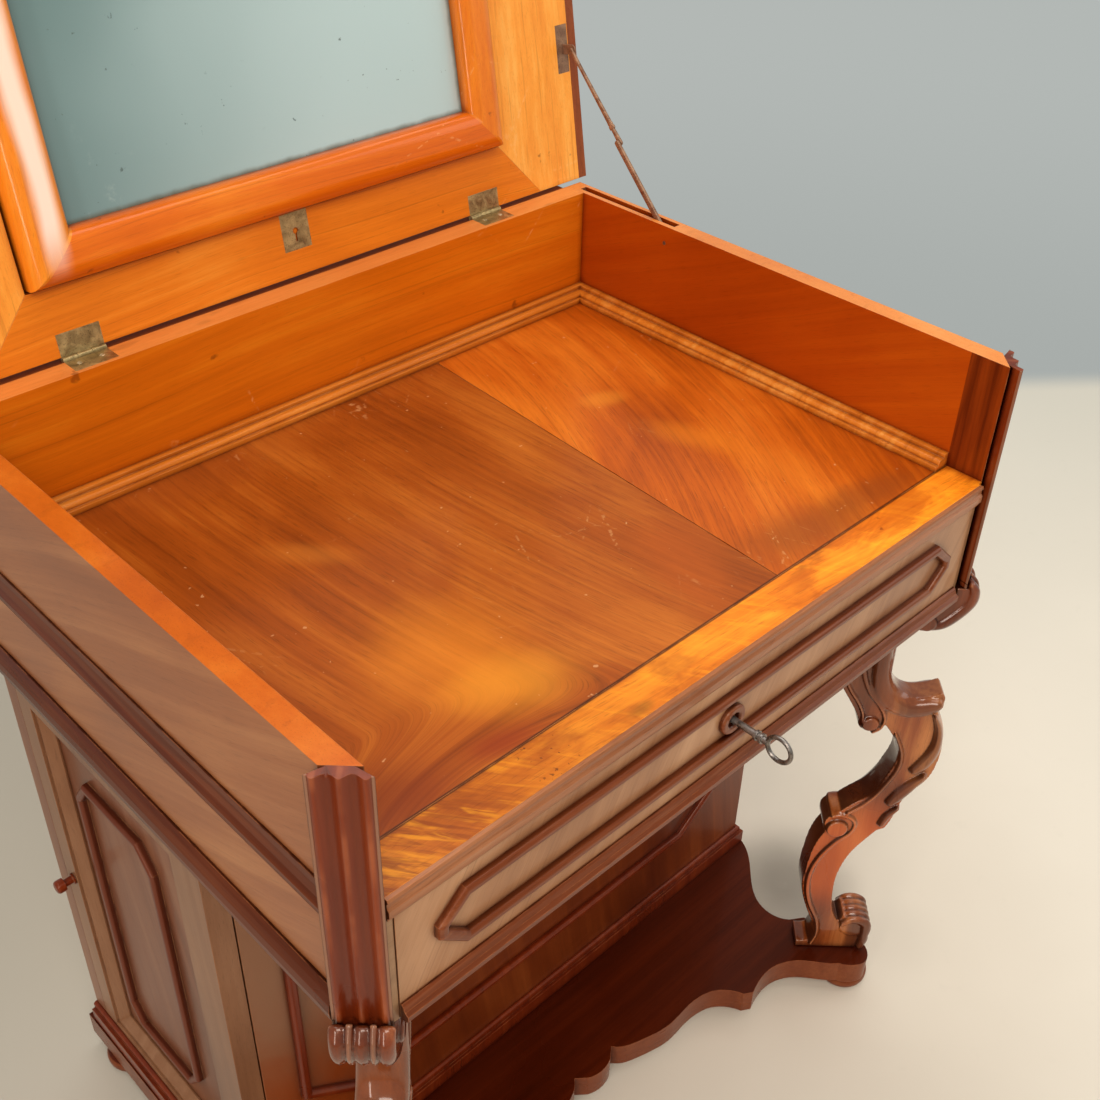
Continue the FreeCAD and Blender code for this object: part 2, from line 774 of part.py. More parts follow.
def face_frame():
    """Rail over the drawer with a post at each end, and the mortise for the lock bolt."""
    body = new_body("face_frame")
    pad(body, "XY", [strip_outline()], "front_top", "well_low - front_top", "rail")
    for name, sign in (("left_post", -1), ("right_post", 1)):
        post = [
            ("post_in", "-nose"),
            ("nose_half", "-nose"),
            ("nose_half", "0"),
            ("inner_half", "0"),
            ("inner_half", "strip_deep"),
            ("post_in", "strip_deep"),
        ]
        pad(body, "XY", [flank(sign, post)], "case_low", "front_top - case_low", name)
    mortise = rectangle(
        "-(bolt_half + bolt_gap)", "drawer_start + bolt_set - bolt_gap",
        "bolt_half + bolt_gap", "drawer_start + bolt_set + bolt_thick + bolt_gap",
    )
    pocket(body, "XY", [mortise], "front_top", "well_low - front_top", "mortise")


def front_moulding():
    """Stepped lip under the front strip, between the reeded posts."""
    body = new_body("front_moulding")
    tall = "(well_top - front_top - fit_gap)"
    profile = moulding("-nose", "-lip_proud", "well_top", "-%s" % tall, LIP_SHARES)
    pad(body, "YZ", [profile], "-nose_half", "nose_half * 2")


def case_bottom():
    body = new_body("case_bottom")
    board = rectangle("-inner_half", "bottom_inset", "inner_half", "well_back")
    posts = [
        ("-inner_half", "strip_deep"), ("-post_in", "strip_deep"), ("-post_in", "bottom_inset"),
        ("post_in", "bottom_inset"), ("post_in", "strip_deep"), ("inner_half", "strip_deep"),
    ]
    pad(body, "XY", [posts + board[2:]], "case_low", "bottom_thick")


def drawer_guides():
    """Two guides on the case bottom, one each side of the drawer."""
    body = new_body("drawer_guides")
    for name, sign in (("left", -1), ("right", 1)):
        start, length = span(sign, "drawer_half + fit_gap * 3", "inner_half")
        guide = rectangle("strip_deep", "case_floor", "well_back", "case_floor + guide_tall")
        pad(body, "YZ", [guide], start, length, name)


def side_mouldings(name, sign):
    """Cove and fillets along the outer side at the well floor, and a round bead at its foot."""
    body = new_body(name)
    band = moulding("case_half", "band_proud", "case_top - band_drop", "-band_tall", BAND_SHARES)
    pad(body, "XZ", [flank(sign, band)], "band_start", "case_deep - band_start", "band")
    bead = moulding("case_half", "bead_proud", "case_low", "bead_tall", BEAD_SHARES)
    pad(body, "XZ", [flank(sign, bead)], "band_start", "case_deep - band_start", "bead")


def pilaster(name, sign):
    """Reeded post on the cut corner: three round reeds with flutes between them."""
    body = new_body(name)
    inset = "-reed_seat * %s" % REED_CORE_SHARES[0]
    beyond = "reed_pitch + reed_radius * %s" % REED_CORE_SHARES[1]
    core = [
        ("-corner_seat", "-corner_seat"),
        ("-corner_seat", "corner_seat"),
        (inset, beyond),
        (inset, "-(%s)" % beyond),
    ]
    tall = "case_top - (pilaster_low)"
    pad(body, "XY", [core], "pilaster_low", tall, "core")
    for reed, place in (("reed_a", "-reed_pitch"), ("reed_b", "0"), ("reed_c", "reed_pitch")):
        circle = ("circle", "-reed_seat", place, "reed_radius")
        pad(body, "XY", [circle], "pilaster_low", tall, reed)
    seat(body, signed(sign, "case_half"))
    turn(body, V(0, 0, 1), "-45" if sign > 0 else "-135")


def corner_bracket(name, sign):
    """Carved leaf bracket under the corner post, curling back into a volute."""
    reach = number("bracket_reach")
    drop = number("bracket_drop")
    leaf = slab(curve_wire(BRACKET_SHARES, reach, drop), number("bracket_wide"))
    eye_place = (BRACKET_EYE_SHARES[0] * reach, BRACKET_EYE_SHARES[1] * drop)
    eye = cross_roll(eye_place, number("bracket_eye"), number("bracket_wide + eye_proud * 2"))
    corner_piece(name, sign, leaf.fuse(eye).removeSplitter(), "case_low")


def leg(name, sign):
    """Scrolled leg: a strap with an eye, a tongue that curls forward, an S body and a paw."""
    reach = number("leg_reach")
    tall = number("leg_tall")
    wide = number("leg_wide")
    shape = slab(curve_wire(LEG_SHARES, reach, tall), wide)
    shape = shape.fuse(slab(curve_wire(TONGUE_SHARES, reach, tall), number("tongue_wide")))
    rolls = (
        (UPPER_EYE_SHARES, "upper_eye", "leg_wide + eye_proud"),
        (LOWER_EYE_SHARES, "lower_eye", "leg_wide + eye_proud * 2"),
        (PAW_SHARES, "paw_radius", "leg_wide + eye_proud * 2"),
    )
    for share, radius, across in rolls:
        place = (share[0] * reach, share[1] * tall)
        shape = shape.fuse(cross_roll(place, number(radius), number(across)))
    corner_piece(name, sign, shape.removeSplitter(), "platform_top")


# Platform and cupboard

def platform():
    """Shelf between the feet, its front cut in cusps and lobes."""
    half = number("platform_half")
    ahead = number("cabinet_ahead")
    right = []
    left = []
    for stretch in PLATFORM_SHARES:
        points = [V(across * half, back * ahead, 0) for across, back in stretch]
        mirrored = [V(-point.x, point.y, 0) for point in points]
        for side, run in ((right, points), (left, mirrored)):
            if len(run) == 2:
                side.append(Part.LineSegment(run[0], run[1]).toShape())
            else:
                curve = Part.BSplineCurve()
                curve.interpolate(run)
                side.append(curve.toShape())
    deep = number("platform_deep")
    corners = [V(half, ahead, 0), V(half, deep, 0), V(-half, deep, 0), V(-half, ahead, 0)]
    back = [Part.LineSegment(corners[i], corners[i + 1]).toShape() for i in range(3)]
    wire = Part.Wire(Part.__sortEdges__(right + back + left))
    made = piece("Part::Feature", "platform")
    made.Shape = Part.Face(wire).extrude(V(0, 0, number("platform_thick")))
    place = V(0, -number("origin_deep"), number("foot_tall"))
    made.Placement = FreeCAD.Placement(place, FreeCAD.Rotation())


def feet():
    """Four bun feet under the corners of the platform."""
    body = new_body("feet")
    places = (
        ("front_left", -1, "front_foot_half", "front_foot_deep"),
        ("front_right", 1, "front_foot_half", "front_foot_deep"),
        ("back_left", -1, "back_foot_half", "back_foot_deep"),
        ("back_right", 1, "back_foot_half", "back_foot_deep"),
    )
    for name, sign, half, deep in places:
        circle = ("circle", signed(sign, half), deep, "foot_radius")
        pad(body, "XY", [circle], "0", "foot_tall", name)

    def rim(box):
        return near(box.ZMin, "0") and near(box.ZMax, "0") or near(box.ZMin, "foot_tall")
    dress(body, "Fillet", rim, "foot_round", "round")


def cabinet_front():
    body = new_body("cabinet_front")
    board = rectangle("-board_left", "platform_top", "cabinet_half", "case_low")
    pad(body, "XZ", [board], "cabinet_ahead", "cabinet_wall")


def cabinet_front_moulding():
    body = new_body("cabinet_front_moulding")
    ring = octagon_ring(
        "-panel_half", "(platform_top + panel_low)", "panel_half", "(platform_top + panel_high)",
        "panel_cut_wide", "panel_cut_tall", "bead_wide",
    )
    pad(body, "XZ", ring, "cabinet_ahead - panel_proud", "panel_proud")

    def front_edge(box):
        return flush(box.YMin, box.YMax, "cabinet_ahead - panel_proud")
    dress(body, "Fillet", front_edge, "bead_wide * %s" % BEAD_ROUND_SHARE, "round")


def door_surround():
    """Rail over the door, sill under it and the rear post."""
    body = new_body("door_surround")
    frame = [
        ("cabinet_ahead", "platform_top"),
        ("cabinet_deep", "platform_top"),
        ("cabinet_deep", "case_low"),
        ("cabinet_ahead", "case_low"),
        ("cabinet_ahead", "door_top + door_gap"),
        ("door_back", "door_top + door_gap"),
        ("door_back", "door_bottom - door_gap"),
        ("cabinet_ahead", "door_bottom - door_gap"),
    ]
    pad(body, "YZ", [frame], "-cabinet_half", "door_thick")
    hole = ("circle", "-pivot_x", "pivot_y", "pivot_radius + pin_gap")
    pocket(body, "XY", [hole], "platform_top", "door_low", "low_hole")
    pocket(body, "XY", [hole], "door_top", "door_drop", "high_hole")


def door_pivots():
    """Two pins that the door turns on, one in the sill and one in the rail."""
    body = new_body("door_pivots")
    pin = ("circle", "-pivot_x", "pivot_y", "pivot_radius")
    pad(body, "XY", [pin], "door_bottom - pivot_long", "pivot_long * 2", "low")
    pad(body, "XY", [pin], "door_top - pivot_long", "pivot_long * 2", "high")


def cabinet_side():
    """Fixed right side with the same raised octagon as the door."""
    body = new_body("cabinet_side_right")
    board = rectangle("cabinet_ahead + cabinet_wall", "platform_top", "cabinet_deep", "case_low")
    pad(body, "YZ", [board], "cabinet_half - cabinet_wall", "cabinet_wall")


def cabinet_side_moulding():
    body = new_body("cabinet_side_moulding")
    ring = octagon_ring(
        "(cabinet_ahead + octagon_front)", "(door_bottom + octagon_low)",
        "(door_back - octagon_back)", "(door_top - octagon_high)",
        "octagon_cut_deep", "octagon_cut_tall", "octagon_wide",
    )
    pad(body, "YZ", ring, "cabinet_half", "octagon_proud")

    def outer_edge(box):
        return flush(box.XMin, box.XMax, "cabinet_half + octagon_proud")
    dress(body, "Fillet", outer_edge, "octagon_wide * %s" % BEAD_ROUND_SHARE, "round")


def cabinet_back():
    body = new_body("cabinet_back")
    board = rectangle("-(door_inner)", "platform_top", "cabinet_half - cabinet_wall", "case_low")
    pad(body, "XZ", [board], "cabinet_deep - cabinet_back_thick", "cabinet_back_thick")


def cabinet_shelf():
    body = new_body("cabinet_shelf")
    board = rectangle(
        "-(door_inner - cam_thick * 2)", "cabinet_ahead + cabinet_wall",
        "cabinet_half - cabinet_wall", "cabinet_deep - cabinet_back_thick",
    )
    pad(body, "XY", [board], "platform_top + shelf_rise", "shelf_thick")


def base_moulding():
    """Stepped moulding round the foot of the cupboard: both sides and the front."""
    body = new_body("base_moulding")
    steps = (("low", "platform_top", "base_proud", "base_tall"),
             ("high", "platform_top + base_tall", "base_step_proud", "base_step_tall"))
    for name, rise, proud, tall in steps:
        edge = [
            ("-(cabinet_half + %s)" % proud, "cabinet_ahead - " + proud),
            ("cabinet_half + " + proud, "cabinet_ahead - " + proud),
            ("cabinet_half + " + proud, "cabinet_deep"),
            ("cabinet_half", "cabinet_deep"),
            ("cabinet_half", "cabinet_ahead"),
            ("-cabinet_half", "cabinet_ahead"),
            ("-cabinet_half", "cabinet_deep"),
            ("-(cabinet_half + %s)" % proud, "cabinet_deep"),
        ]
        pad(body, "XY", [edge], rise, tall, name)

    def top_edge(box):
        level = near(box.ZMin, "platform_top + base_tall + base_step_tall")
        outside = near(box.YMin, "cabinet_ahead - base_step_proud")
        outside = outside and not near(box.YMax, "cabinet_ahead")
        return level and outside and box.ZMax - box.ZMin < number("fit_gap")
    dress(body, "Fillet", top_edge, "base_step_proud * %s" % BASE_ROUND_SHARE, "round")


# Door, knob

def door_frame():
    """Stiles and rails of the door with a moulding round the sunk panel."""
    body = new_body("door_frame")
    outer = rectangle("door_front", "door_bottom", "door_end", "door_top")
    inner = rectangle("opening_front", "opening_floor", "opening_back", "opening_top")
    pad(body, "YZ", [outer, inner], "-cabinet_half", "door_thick", "frame")
    ring = rectangle(
        "opening_front + cove_in", "opening_floor + cove_in",
        "opening_back - cove_in", "opening_top - cove_in",
    )
    cove = rectangle("opening_front", "opening_floor", "opening_back", "opening_top")
    pad(body, "YZ", [cove, ring], "-cabinet_half + cove_sunk", "panel_sunk - cove_sunk", "cove")

    def inner_edge(box):
        ahead = box.YMin > number("opening_front + cove_in / 2")
        behind = box.YMax < number("opening_back - cove_in / 2")
        return flush(box.XMin, box.XMax, "-cabinet_half + cove_sunk") and ahead and behind
    dress(body, "Chamfer", inner_edge, "cove_in * %s" % BEVEL_SHARE, "bevel")
    hole = ("circle", "-pivot_x", "pivot_y", "pivot_radius + pin_gap")
    pocket(body, "XY", [hole], "door_bottom", "pivot_long + door_gap", "low_hole")
    pocket(body, "XY", [hole], "door_top - pivot_long - door_gap", "pivot_long + door_gap", "high_hole")
    turning = ("circle", "knob_y", "knob_z", "turn_radius + turn_gap")
    pocket(body, "YZ", [turning], "-cabinet_half", "door_thick", "knob_hole")


def door_panel():
    """Sunk panel with a raised octagon on it."""
    body = new_body("door_panel")
    field = rectangle("opening_front", "opening_floor", "opening_back", "opening_top")
    pad(body, "YZ", [field], "-panel_face", "panel_thick", "field")
    ring = octagon_ring(
        "(cabinet_ahead + octagon_front)", "(door_bottom + octagon_low)",
        "(door_back - octagon_back)", "(door_top - octagon_high)",
        "octagon_cut_deep", "octagon_cut_tall", "octagon_wide",
    )
    pad(body, "YZ", ring, "-panel_face - octagon_proud", "octagon_proud", "octagon")

    def outer_edge(box):
        return flush(box.XMin, box.XMax, "-panel_face - octagon_proud")
    dress(body, "Fillet", outer_edge, "octagon_wide * %s" % BEAD_ROUND_SHARE, "round")


def door_knob():
    """Turned knob with a spindle through the stile and a cam inside."""
    body = new_body("door_knob")
    spindle = ("circle", "knob_y", "knob_z", "turn_radius")
    pad(body, "YZ", [spindle], "-cabinet_half", "door_thick + fit_gap + cam_thick", "spindle")
    stem = ("circle", "knob_y", "knob_z", "knob_stem")
    start = "-cabinet_half - knob_proud + knob_head / 2"
    pad(body, "YZ", [stem], start, "knob_proud - knob_head / 2 - fit_gap", "stem")
    head = ("circle", "knob_y", "knob_z", "knob_radius")
    pad(body, "YZ", [head], "-cabinet_half - knob_proud", "knob_head", "head")
    rose = ("circle", "knob_y", "knob_z", "knob_radius * %s" % ROSE_SHARE)
    pad(body, "YZ", [rose], "-cabinet_half - fit_gap - knob_stem / 2", "knob_stem / 2", "rose")
    cam = rectangle("knob_y - cam_half", "knob_z - cam_long", "knob_y + cam_half", "knob_z + cam_half")
    pad(body, "YZ", [cam], "-door_inner + fit_gap", "cam_thick", "cam")

    def head_edge(box):
        return flush(box.XMin, box.XMax, "-cabinet_half - knob_proud")
    dress(body, "Fillet", head_edge, "knob_head * %s" % KNOB_ROUND_SHARE, "round")


# Drawer, lock and key

def drawer_front():
    body = new_body("drawer_front")
    board = rectangle("-front_half", "front_low", "front_half", "drawer_front_top")
    pad(body, "XZ", [board], "face", "front_thick")
    hole = ("circle", "0", "key_rise", "shank_radius + pin_gap")
    pocket(body, "XZ", [hole], "face", "front_thick", "keyhole")


def drawer_octagon():
    body = new_body("drawer_octagon")
    ring = octagon_ring(
        "-front_panel_half", "(case_top - front_panel_low)",
        "front_panel_half", "(case_top - front_panel_high)",
        "front_panel_cut_wide", "front_panel_cut_tall", "strip_wide",
    )
    pad(body, "XZ", ring, "face - strip_proud", "strip_proud")

    def front_edge(box):
        return flush(box.YMin, box.YMax, "face - strip_proud")
    dress(body, "Fillet", front_edge, "strip_wide * %s" % BEAD_ROUND_SHARE, "round")


def drawer_plinth():
    """Moulding planted along the foot of the drawer front."""
    body = new_body("drawer_plinth")
    profile = moulding("face", "-plinth_proud", "front_low", "plinth_tall", PLINTH_SHARES)
    pad(body, "YZ", [profile], "-front_half", "front_half * 2")


def drawer_box():
    """Sides and back of the drawer as one dovetailed frame."""
    body = new_body("drawer_box")
    frame = [
        ("-drawer_half", "drawer_start"),
        ("-(drawer_half - drawer_wall)", "drawer_start"),
        ("-(drawer_half - drawer_wall)", "drawer_end - drawer_wall"),
        ("drawer_half - drawer_wall", "drawer_end - drawer_wall"),
        ("drawer_half - drawer_wall", "drawer_start"),
        ("drawer_half", "drawer_start"),
        ("drawer_half", "drawer_end"),
        ("-drawer_half", "drawer_end"),
    ]
    pad(body, "XY", [frame], "drawer_low", "drawer_tall")


def drawer_floor():
    body = new_body("drawer_floor")
    board = rectangle(
        "-(drawer_half - drawer_wall)", "drawer_start",
        "drawer_half - drawer_wall", "drawer_end - drawer_wall",
    )
    pad(body, "XY", [board], "drawer_low + drawer_floor_rise", "drawer_floor_thick")


def drawer_lock():
    """Lock case behind the drawer front, with the bolt's slot and the key's bore."""
    body = new_body("drawer_lock")
    case = rectangle("-lock_half", "drawer_front_top - lock_tall", "lock_half", "drawer_front_top")
    pad(body, "XZ", [case], "drawer_start", "lock_thick")
    slot = rectangle(
        "-(bolt_half + pin_gap)", "drawer_start + bolt_set - pin_gap",
        "bolt_half + pin_gap", "drawer_start + bolt_set + bolt_thick + pin_gap",
    )
    pocket(body, "XY", [slot], "drawer_front_top - bolt_long - bolt_gap",
           "bolt_long + bolt_gap", "bolt_slot")
    bore = ("circle", "0", "key_rise", "shank_radius + pin_gap")
    pocket(body, "XZ", [bore], "drawer_start", "lock_thick", "key_bore")


def lock_bolt():
    body = new_body("lock_bolt")
    bar = rectangle(
        "-bolt_half", "drawer_start + bolt_set",
        "bolt_half", "drawer_start + bolt_set + bolt_thick",
    )
    pad(body, "XY", [bar], "drawer_front_top - bolt_long", "bolt_long")


def escutcheon():
    """Turned ring round the keyhole."""
    body = new_body("escutcheon")
    ring = ("circle", "0", "key_rise", "ring_radius")
    hole = ("circle", "0", "key_rise", "ring_hole")
    pad(body, "XZ", [ring, hole], "face - ring_proud", "ring_proud")

    def front_edge(box):
        return flush(box.YMin, box.YMax, "face - ring_proud")
    dress(body, "Fillet", front_edge, "ring_proud / 2", "round")


def key():
    """Key in the lock: shank with two collars and a round bow."""
    shank = doc.addObject("Part::Cylinder", "key_shank")
    shank.setExpression("Radius", bound("shank_radius"))
    shank.setExpression("Height", bound("shank_out + shank_in"))
    shank.setExpression("Placement.Base.z", bound("-shank_in"))
    bow = doc.addObject("Part::Torus", "key_bow")
    bow.setExpression("Radius1", bound("bow_radius"))
    bow.setExpression("Radius2", bound("bow_wire"))
    bow.Placement.Rotation = FreeCAD.Rotation(V(0, 1, 0), 90)
    bow.setExpression("Placement.Base.z", bound("shank_out + bow_radius"))
    collars = []
    for step in (0, 1):
        collar = doc.addObject("Part::Cylinder", "key_collar_%d" % step)
        collar.setExpression("Radius", bound("collar_radius"))
        collar.setExpression("Height", bound("collar_thick"))
        collar.setExpression("Placement.Base.z", bound("collar_out + collar_step * %d" % step))
        collars.append(collar)
    made = piece("Part::MultiFuse", "key")
    made.Shapes = [shank, bow] + collars
    seat(made, "0", "0", "key_rise")
    turn(made, V(1, 0, 0), "90")


# Lid, drawn shut about its hinge line with Y towards the back, then opened

def lid_body(name):
    body = new_body(name)
    seat(body, "0", "hinge_y", "case_top")
    turn(body, V(1, 0, 0), "-lid_open")
    return body


def lid_rails():
    rear = lid_body("lid_rail_rear")
    outline = [
        ("-mitre_out", "-hinge_behind"), ("mitre_out", "-hinge_behind"),
        ("opening_half", "-opening_low"), ("-opening_half", "-opening_low"),
    ]
    pad(rear, "XY", [outline], "lid_lift", "lid_thick")
    leaves = []
    for left in HINGE_LEFTS:
        right = left + " + hinge_long"
        leaves.append(rectangle(left, "-hinge_behind - hinge_leaf", right, "-hinge_behind"))
    pocket(rear, "XY", leaves, "lid_lift", "plate_thick", "leaf_seats")
    pocket(rear, "XY", [lock_plate_outline()], "lid_lift", "plate_thick", "plate_seat")
    front = lid_body("lid_rail_front")
    outline = [
        ("-mitre_out", "-lid_long"), ("mitre_out", "-lid_long"),
        ("opening_half", "-opening_high"), ("-opening_half", "-opening_high"),
    ]
    pad(front, "XY", [outline], "lid_lift", "lid_thick")


def lock_plate_outline():
    return rectangle(
        "-lock_plate_left", "-lock_plate_low - lock_plate_tall",
        "lock_plate_right", "-lock_plate_low",
    )


def mirror_pin_circle(radius):
    return ("circle", "-(flap_high - mirror_pin_drop)", "mirror_pin_deep", radius)


def lid_stile(name, sign):
    body = lid_body(name)
    outline = [
        ("mitre_out", "-hinge_behind"), ("lid_half", "-hinge_behind"),
        ("lid_half", "-lid_long"), ("mitre_out", "-lid_long"),
        ("opening_half", "-opening_high"), ("opening_half", "-opening_low"),
    ]
    pad(body, "XY", [flank(sign, outline)], "lid_lift", "lid_thick")
    start, length = span(sign, "opening_half", "opening_half + mirror_pin_long / 2")
    hole = mirror_pin_circle("mirror_pin_radius + pin_gap")
    pocket(body, "YZ", [hole], start, length, "pin_hole")
    if sign > 0:
        seat_outline = rectangle(
            "lid_half - plate_in - plate_wide", "-plate_up - plate_long",
            "lid_half - plate_in", "-plate_up",
        )
        pocket(body, "XY", [seat_outline], "lid_lift", "plate_thick", "plate_seat")


def lid_panel():
    body = lid_body("lid_panel")
    board = rectangle("-opening_half", "-opening_high", "opening_half", "-opening_low")
    pad(body, "XY", [board], "lid_face - panel_board", "panel_board")


def lid_moulding():
    """Edge moulding round the front and both ends of the lid, standing out in two steps."""
    body = lid_body("lid_moulding")
    steps = (("low", "lid_lift", "edge_step", "edge_low"),
             ("high", "lid_lift + edge_low", "edge_out", "lid_thick - edge_low"))
    for name, rise, out, tall in steps:
        edge = [
            ("-(lid_half + %s)" % out, "-(lid_long + %s)" % out),
            ("lid_half + " + out, "-(lid_long + %s)" % out),
            ("lid_half + " + out, "-hinge_behind"),
            ("lid_half", "-hinge_behind"),
            ("lid_half", "-lid_long"),
            ("-lid_half", "-lid_long"),
            ("-lid_half", "-hinge_behind"),
            ("-(lid_half + %s)" % out, "-hinge_behind"),
        ]
        pad(body, "XY", [edge], rise, tall, name)

    def outer_edge(box):
        level = near(box.ZMin, "lid_face") and near(box.ZMax, "lid_face")
        level = level or near(box.ZMin, "lid_lift + edge_low") and near(box.ZMax, "lid_lift + edge_low")
        front = near(box.YMin, "-(lid_long + edge_out)")
        return level and front
    dress(body, "Fillet", outer_edge, "edge_round", "round")


def lid_apron():
    """Board that hangs from the front of the lid and shuts the well over the drawer."""
    body = lid_body("lid_apron")
    board = rectangle(
        "-(inner_half - apron_end)", "-(well_drop - apron_clear)",
        "inner_half - apron_end", "lid_lift",
    )
    pad(body, "XZ", [board], "-apron_front", "apron_thick", "board")
    ring = octagon_ring(
        "-front_panel_half", "-apron_panel_low", "front_panel_half", "-apron_panel_high",
        "front_panel_cut_wide", "front_panel_cut_tall", "strip_wide",
    )
    pad(body, "XZ", ring, "-apron_front - strip_proud", "strip_proud", "octagon")


def mirror_frame():
    """Cushion frame of the mirror flap, proud of the lid's inner face."""
    body = lid_body("mirror_frame")
    outer = rectangle("-flap_half", "-flap_high", "flap_half", "-flap_low")
    inner = rectangle("-glass_half", "-glass_high", "glass_half", "-glass_low")
    pad(body, "XY", [outer, inner], "lid_lift - frame_proud", "frame_proud + frame_deep", "ring")

    def outer_edge(box):
        level = flush(box.ZMin, box.ZMax, "lid_lift - frame_proud")
        return level and (near(box.YMin, "-flap_high") or near(box.YMax, "-flap_low"))

    def inner_edge(box):
        level = flush(box.ZMin, box.ZMax, "lid_lift - frame_proud")
        low = box.YMin > number("-glass_high - fit_gap")
        return level and low and box.YMax < number("-glass_low + fit_gap")
    dress(body, "Fillet", outer_edge, "frame_outer_round", "outer_round")
    dress(body, "Fillet", inner_edge, "frame_inner_round", "inner_round")
    rebate_outline = rectangle(
        "-(glass_half + rebate)", "-(glass_high + rebate)",
        "glass_half + rebate", "-(glass_low - rebate)",
    )
    pocket(body, "XY", [rebate_outline], "lid_lift + glass_front", "frame_deep - glass_front", "rebate")
    hole = mirror_pin_circle("mirror_pin_radius + pin_gap")
    deep = "mirror_pin_long / 2 - frame_gap + fit_gap"
    pocket(body, "YZ", [hole], "-flap_half", deep, "left_hole")
    pocket(body, "YZ", [hole], "flap_half - (%s)" % deep, deep, "right_hole")


def mirror_pins():
    """Two pins in the stiles that the mirror flap turns on."""
    body = lid_body("mirror_pins")
    pin = mirror_pin_circle("mirror_pin_radius")
    for name, sign in (("left", -1), ("right", 1)):
        inner = "opening_half - mirror_pin_long / 2"
        start, length = span(sign, inner, "opening_half + mirror_pin_long / 2 - fit_gap")
        pad(body, "YZ", [pin], start, length, name)


def mirror_glass():
    body = lid_body("mirror_glass")
    pane = rectangle(
        "-(glass_half + rebate - fit_gap)", "-(glass_high + rebate - fit_gap)",
        "glass_half + rebate - fit_gap", "-(glass_low - rebate + fit_gap)",
    )
    pad(body, "XY", [pane], "lid_lift + glass_front", "glass_thick")


def mirror_back():
    body = lid_body("mirror_back")
    board = rectangle(
        "-(glass_half + rebate - fit_gap)", "-(glass_high + rebate - fit_gap)",
        "glass_half + rebate - fit_gap", "-(glass_low - rebate + fit_gap)",
    )
    start = "lid_lift + glass_front + glass_thick"
    pad(body, "XY", [board], start, "frame_deep - glass_front - glass_thick - fit_gap")


def mirror_lock_plate():
    """Brass plate of the mirror's lock, let in flush, with its keyhole."""
    body = lid_body("mirror_lock_plate")
    pad(body, "XY", [lock_plate_outline()], "lid_lift", "plate_thick")
    middle = "(lock_plate_right - lock_plate_left) / 2"
    centre = "-(lock_plate_low + lock_plate_tall / 2)"
    hole = ("circle", middle, centre, "keyhole_radius")
    pocket(body, "XY", [hole], "lid_lift", "plate_thick", "keyhole")
    slot = rectangle(
        middle + " - keyhole_slot / 2", centre,
        middle + " + keyhole_slot / 2", centre + " + keyhole_long",
    )
    pocket(body, "XY", [slot], "lid_lift", "plate_thick", "keyslot")


# Hinges

HINGE_LEFTS = ("hinge_right", "-hinge_left")


def case_hinge_leaves():
    """Leaves on the back board, each with the two outer knuckles and the pin."""
    body = new_body("case_hinge_leaves")
    for i, left in enumerate(HINGE_LEFTS):
        tag = "_%d" % i
        plate = rectangle(left, "case_deep - hinge_leaf", left + " + hinge_long", "case_deep")
        pad(body, "XY", [plate], "case_top - plate_thick", "plate_thick", "plate" + tag)
        far = "(%s + hinge_long * (1 - knuckle_share))" % left
        for side, start in (("near", left), ("far", far)):
            tab = rectangle(start, "case_deep", start + " + hinge_long * knuckle_share", "hinge_y")
            pad(body, "XY", [tab], "case_top - plate_thick", "plate_thick", side + "_tab" + tag)
            barrel = ("circle", "hinge_y", "case_top", "knuckle_radius")
            pad(body, "YZ", [barrel], start, "hinge_long * knuckle_share", side + tag)
        pin = ("circle", "hinge_y", "case_top", "hinge_pin")
        pad(body, "YZ", [pin], left, "hinge_long", "pin" + tag)


def lid_hinge_leaves():
    """Leaves on the lid's rear rail, each with the middle knuckle round the pin."""
    body = lid_body("lid_hinge_leaves")
    for i, left in enumerate(HINGE_LEFTS):
        tag = "_%d" % i
        plate = rectangle(left, "-hinge_behind - hinge_leaf", left + " + hinge_long", "-hinge_behind")
        pad(body, "XY", [plate], "lid_lift", "plate_thick", "plate" + tag)
        start = "(%s + hinge_long * knuckle_share + fit_gap)" % left
        long = "hinge_long * (1 - 2 * knuckle_share) - fit_gap * 2"
        tab = rectangle(start, "-hinge_behind", "%s + %s" % (start, long), "0")
        pad(body, "XY", [tab], "lid_lift", "plate_thick", "tab" + tag)
        barrel = ("circle", "0", "0", "knuckle_radius")
        pad(body, "YZ", [barrel], start, long, "barrel" + tag)
        bore = ("circle", "0", "0", "hinge_pin + pin_gap")
        pocket(body, "YZ", [bore], start, long, "bore" + tag)


# Stay

def stay_plate():
    """Plate let into the right stile, with a lug and the pin of the upper arm."""
    body = lid_body("stay_plate")
    plate = rectangle(
        "lid_half - plate_in - plate_wide", "-plate_up - plate_long",
        "lid_half - plate_in", "-plate_up",
    )
    pad(body, "XY", [plate], "lid_lift", "plate_thick", "plate")
    into = "lid_lift + plate_thick / 2"
    lug = rectangle("-head_up - arm_eye", "-head_out", "-head_up + arm_eye", into)
    pad(body, "YZ", [lug], "lug_in", "lug_thick", "lug")
    eye = ("circle", "-head_up", "-head_out", "arm_eye")
    pad(body, "YZ", [eye], "lug_in", "lug_thick", "eye")
    pin = ("circle", "-head_up", "-head_out", "stay_pin")
    pad(body, "YZ", [pin], "upper_in - arm_gap", "arm_thick + arm_gap * 2", "pin")


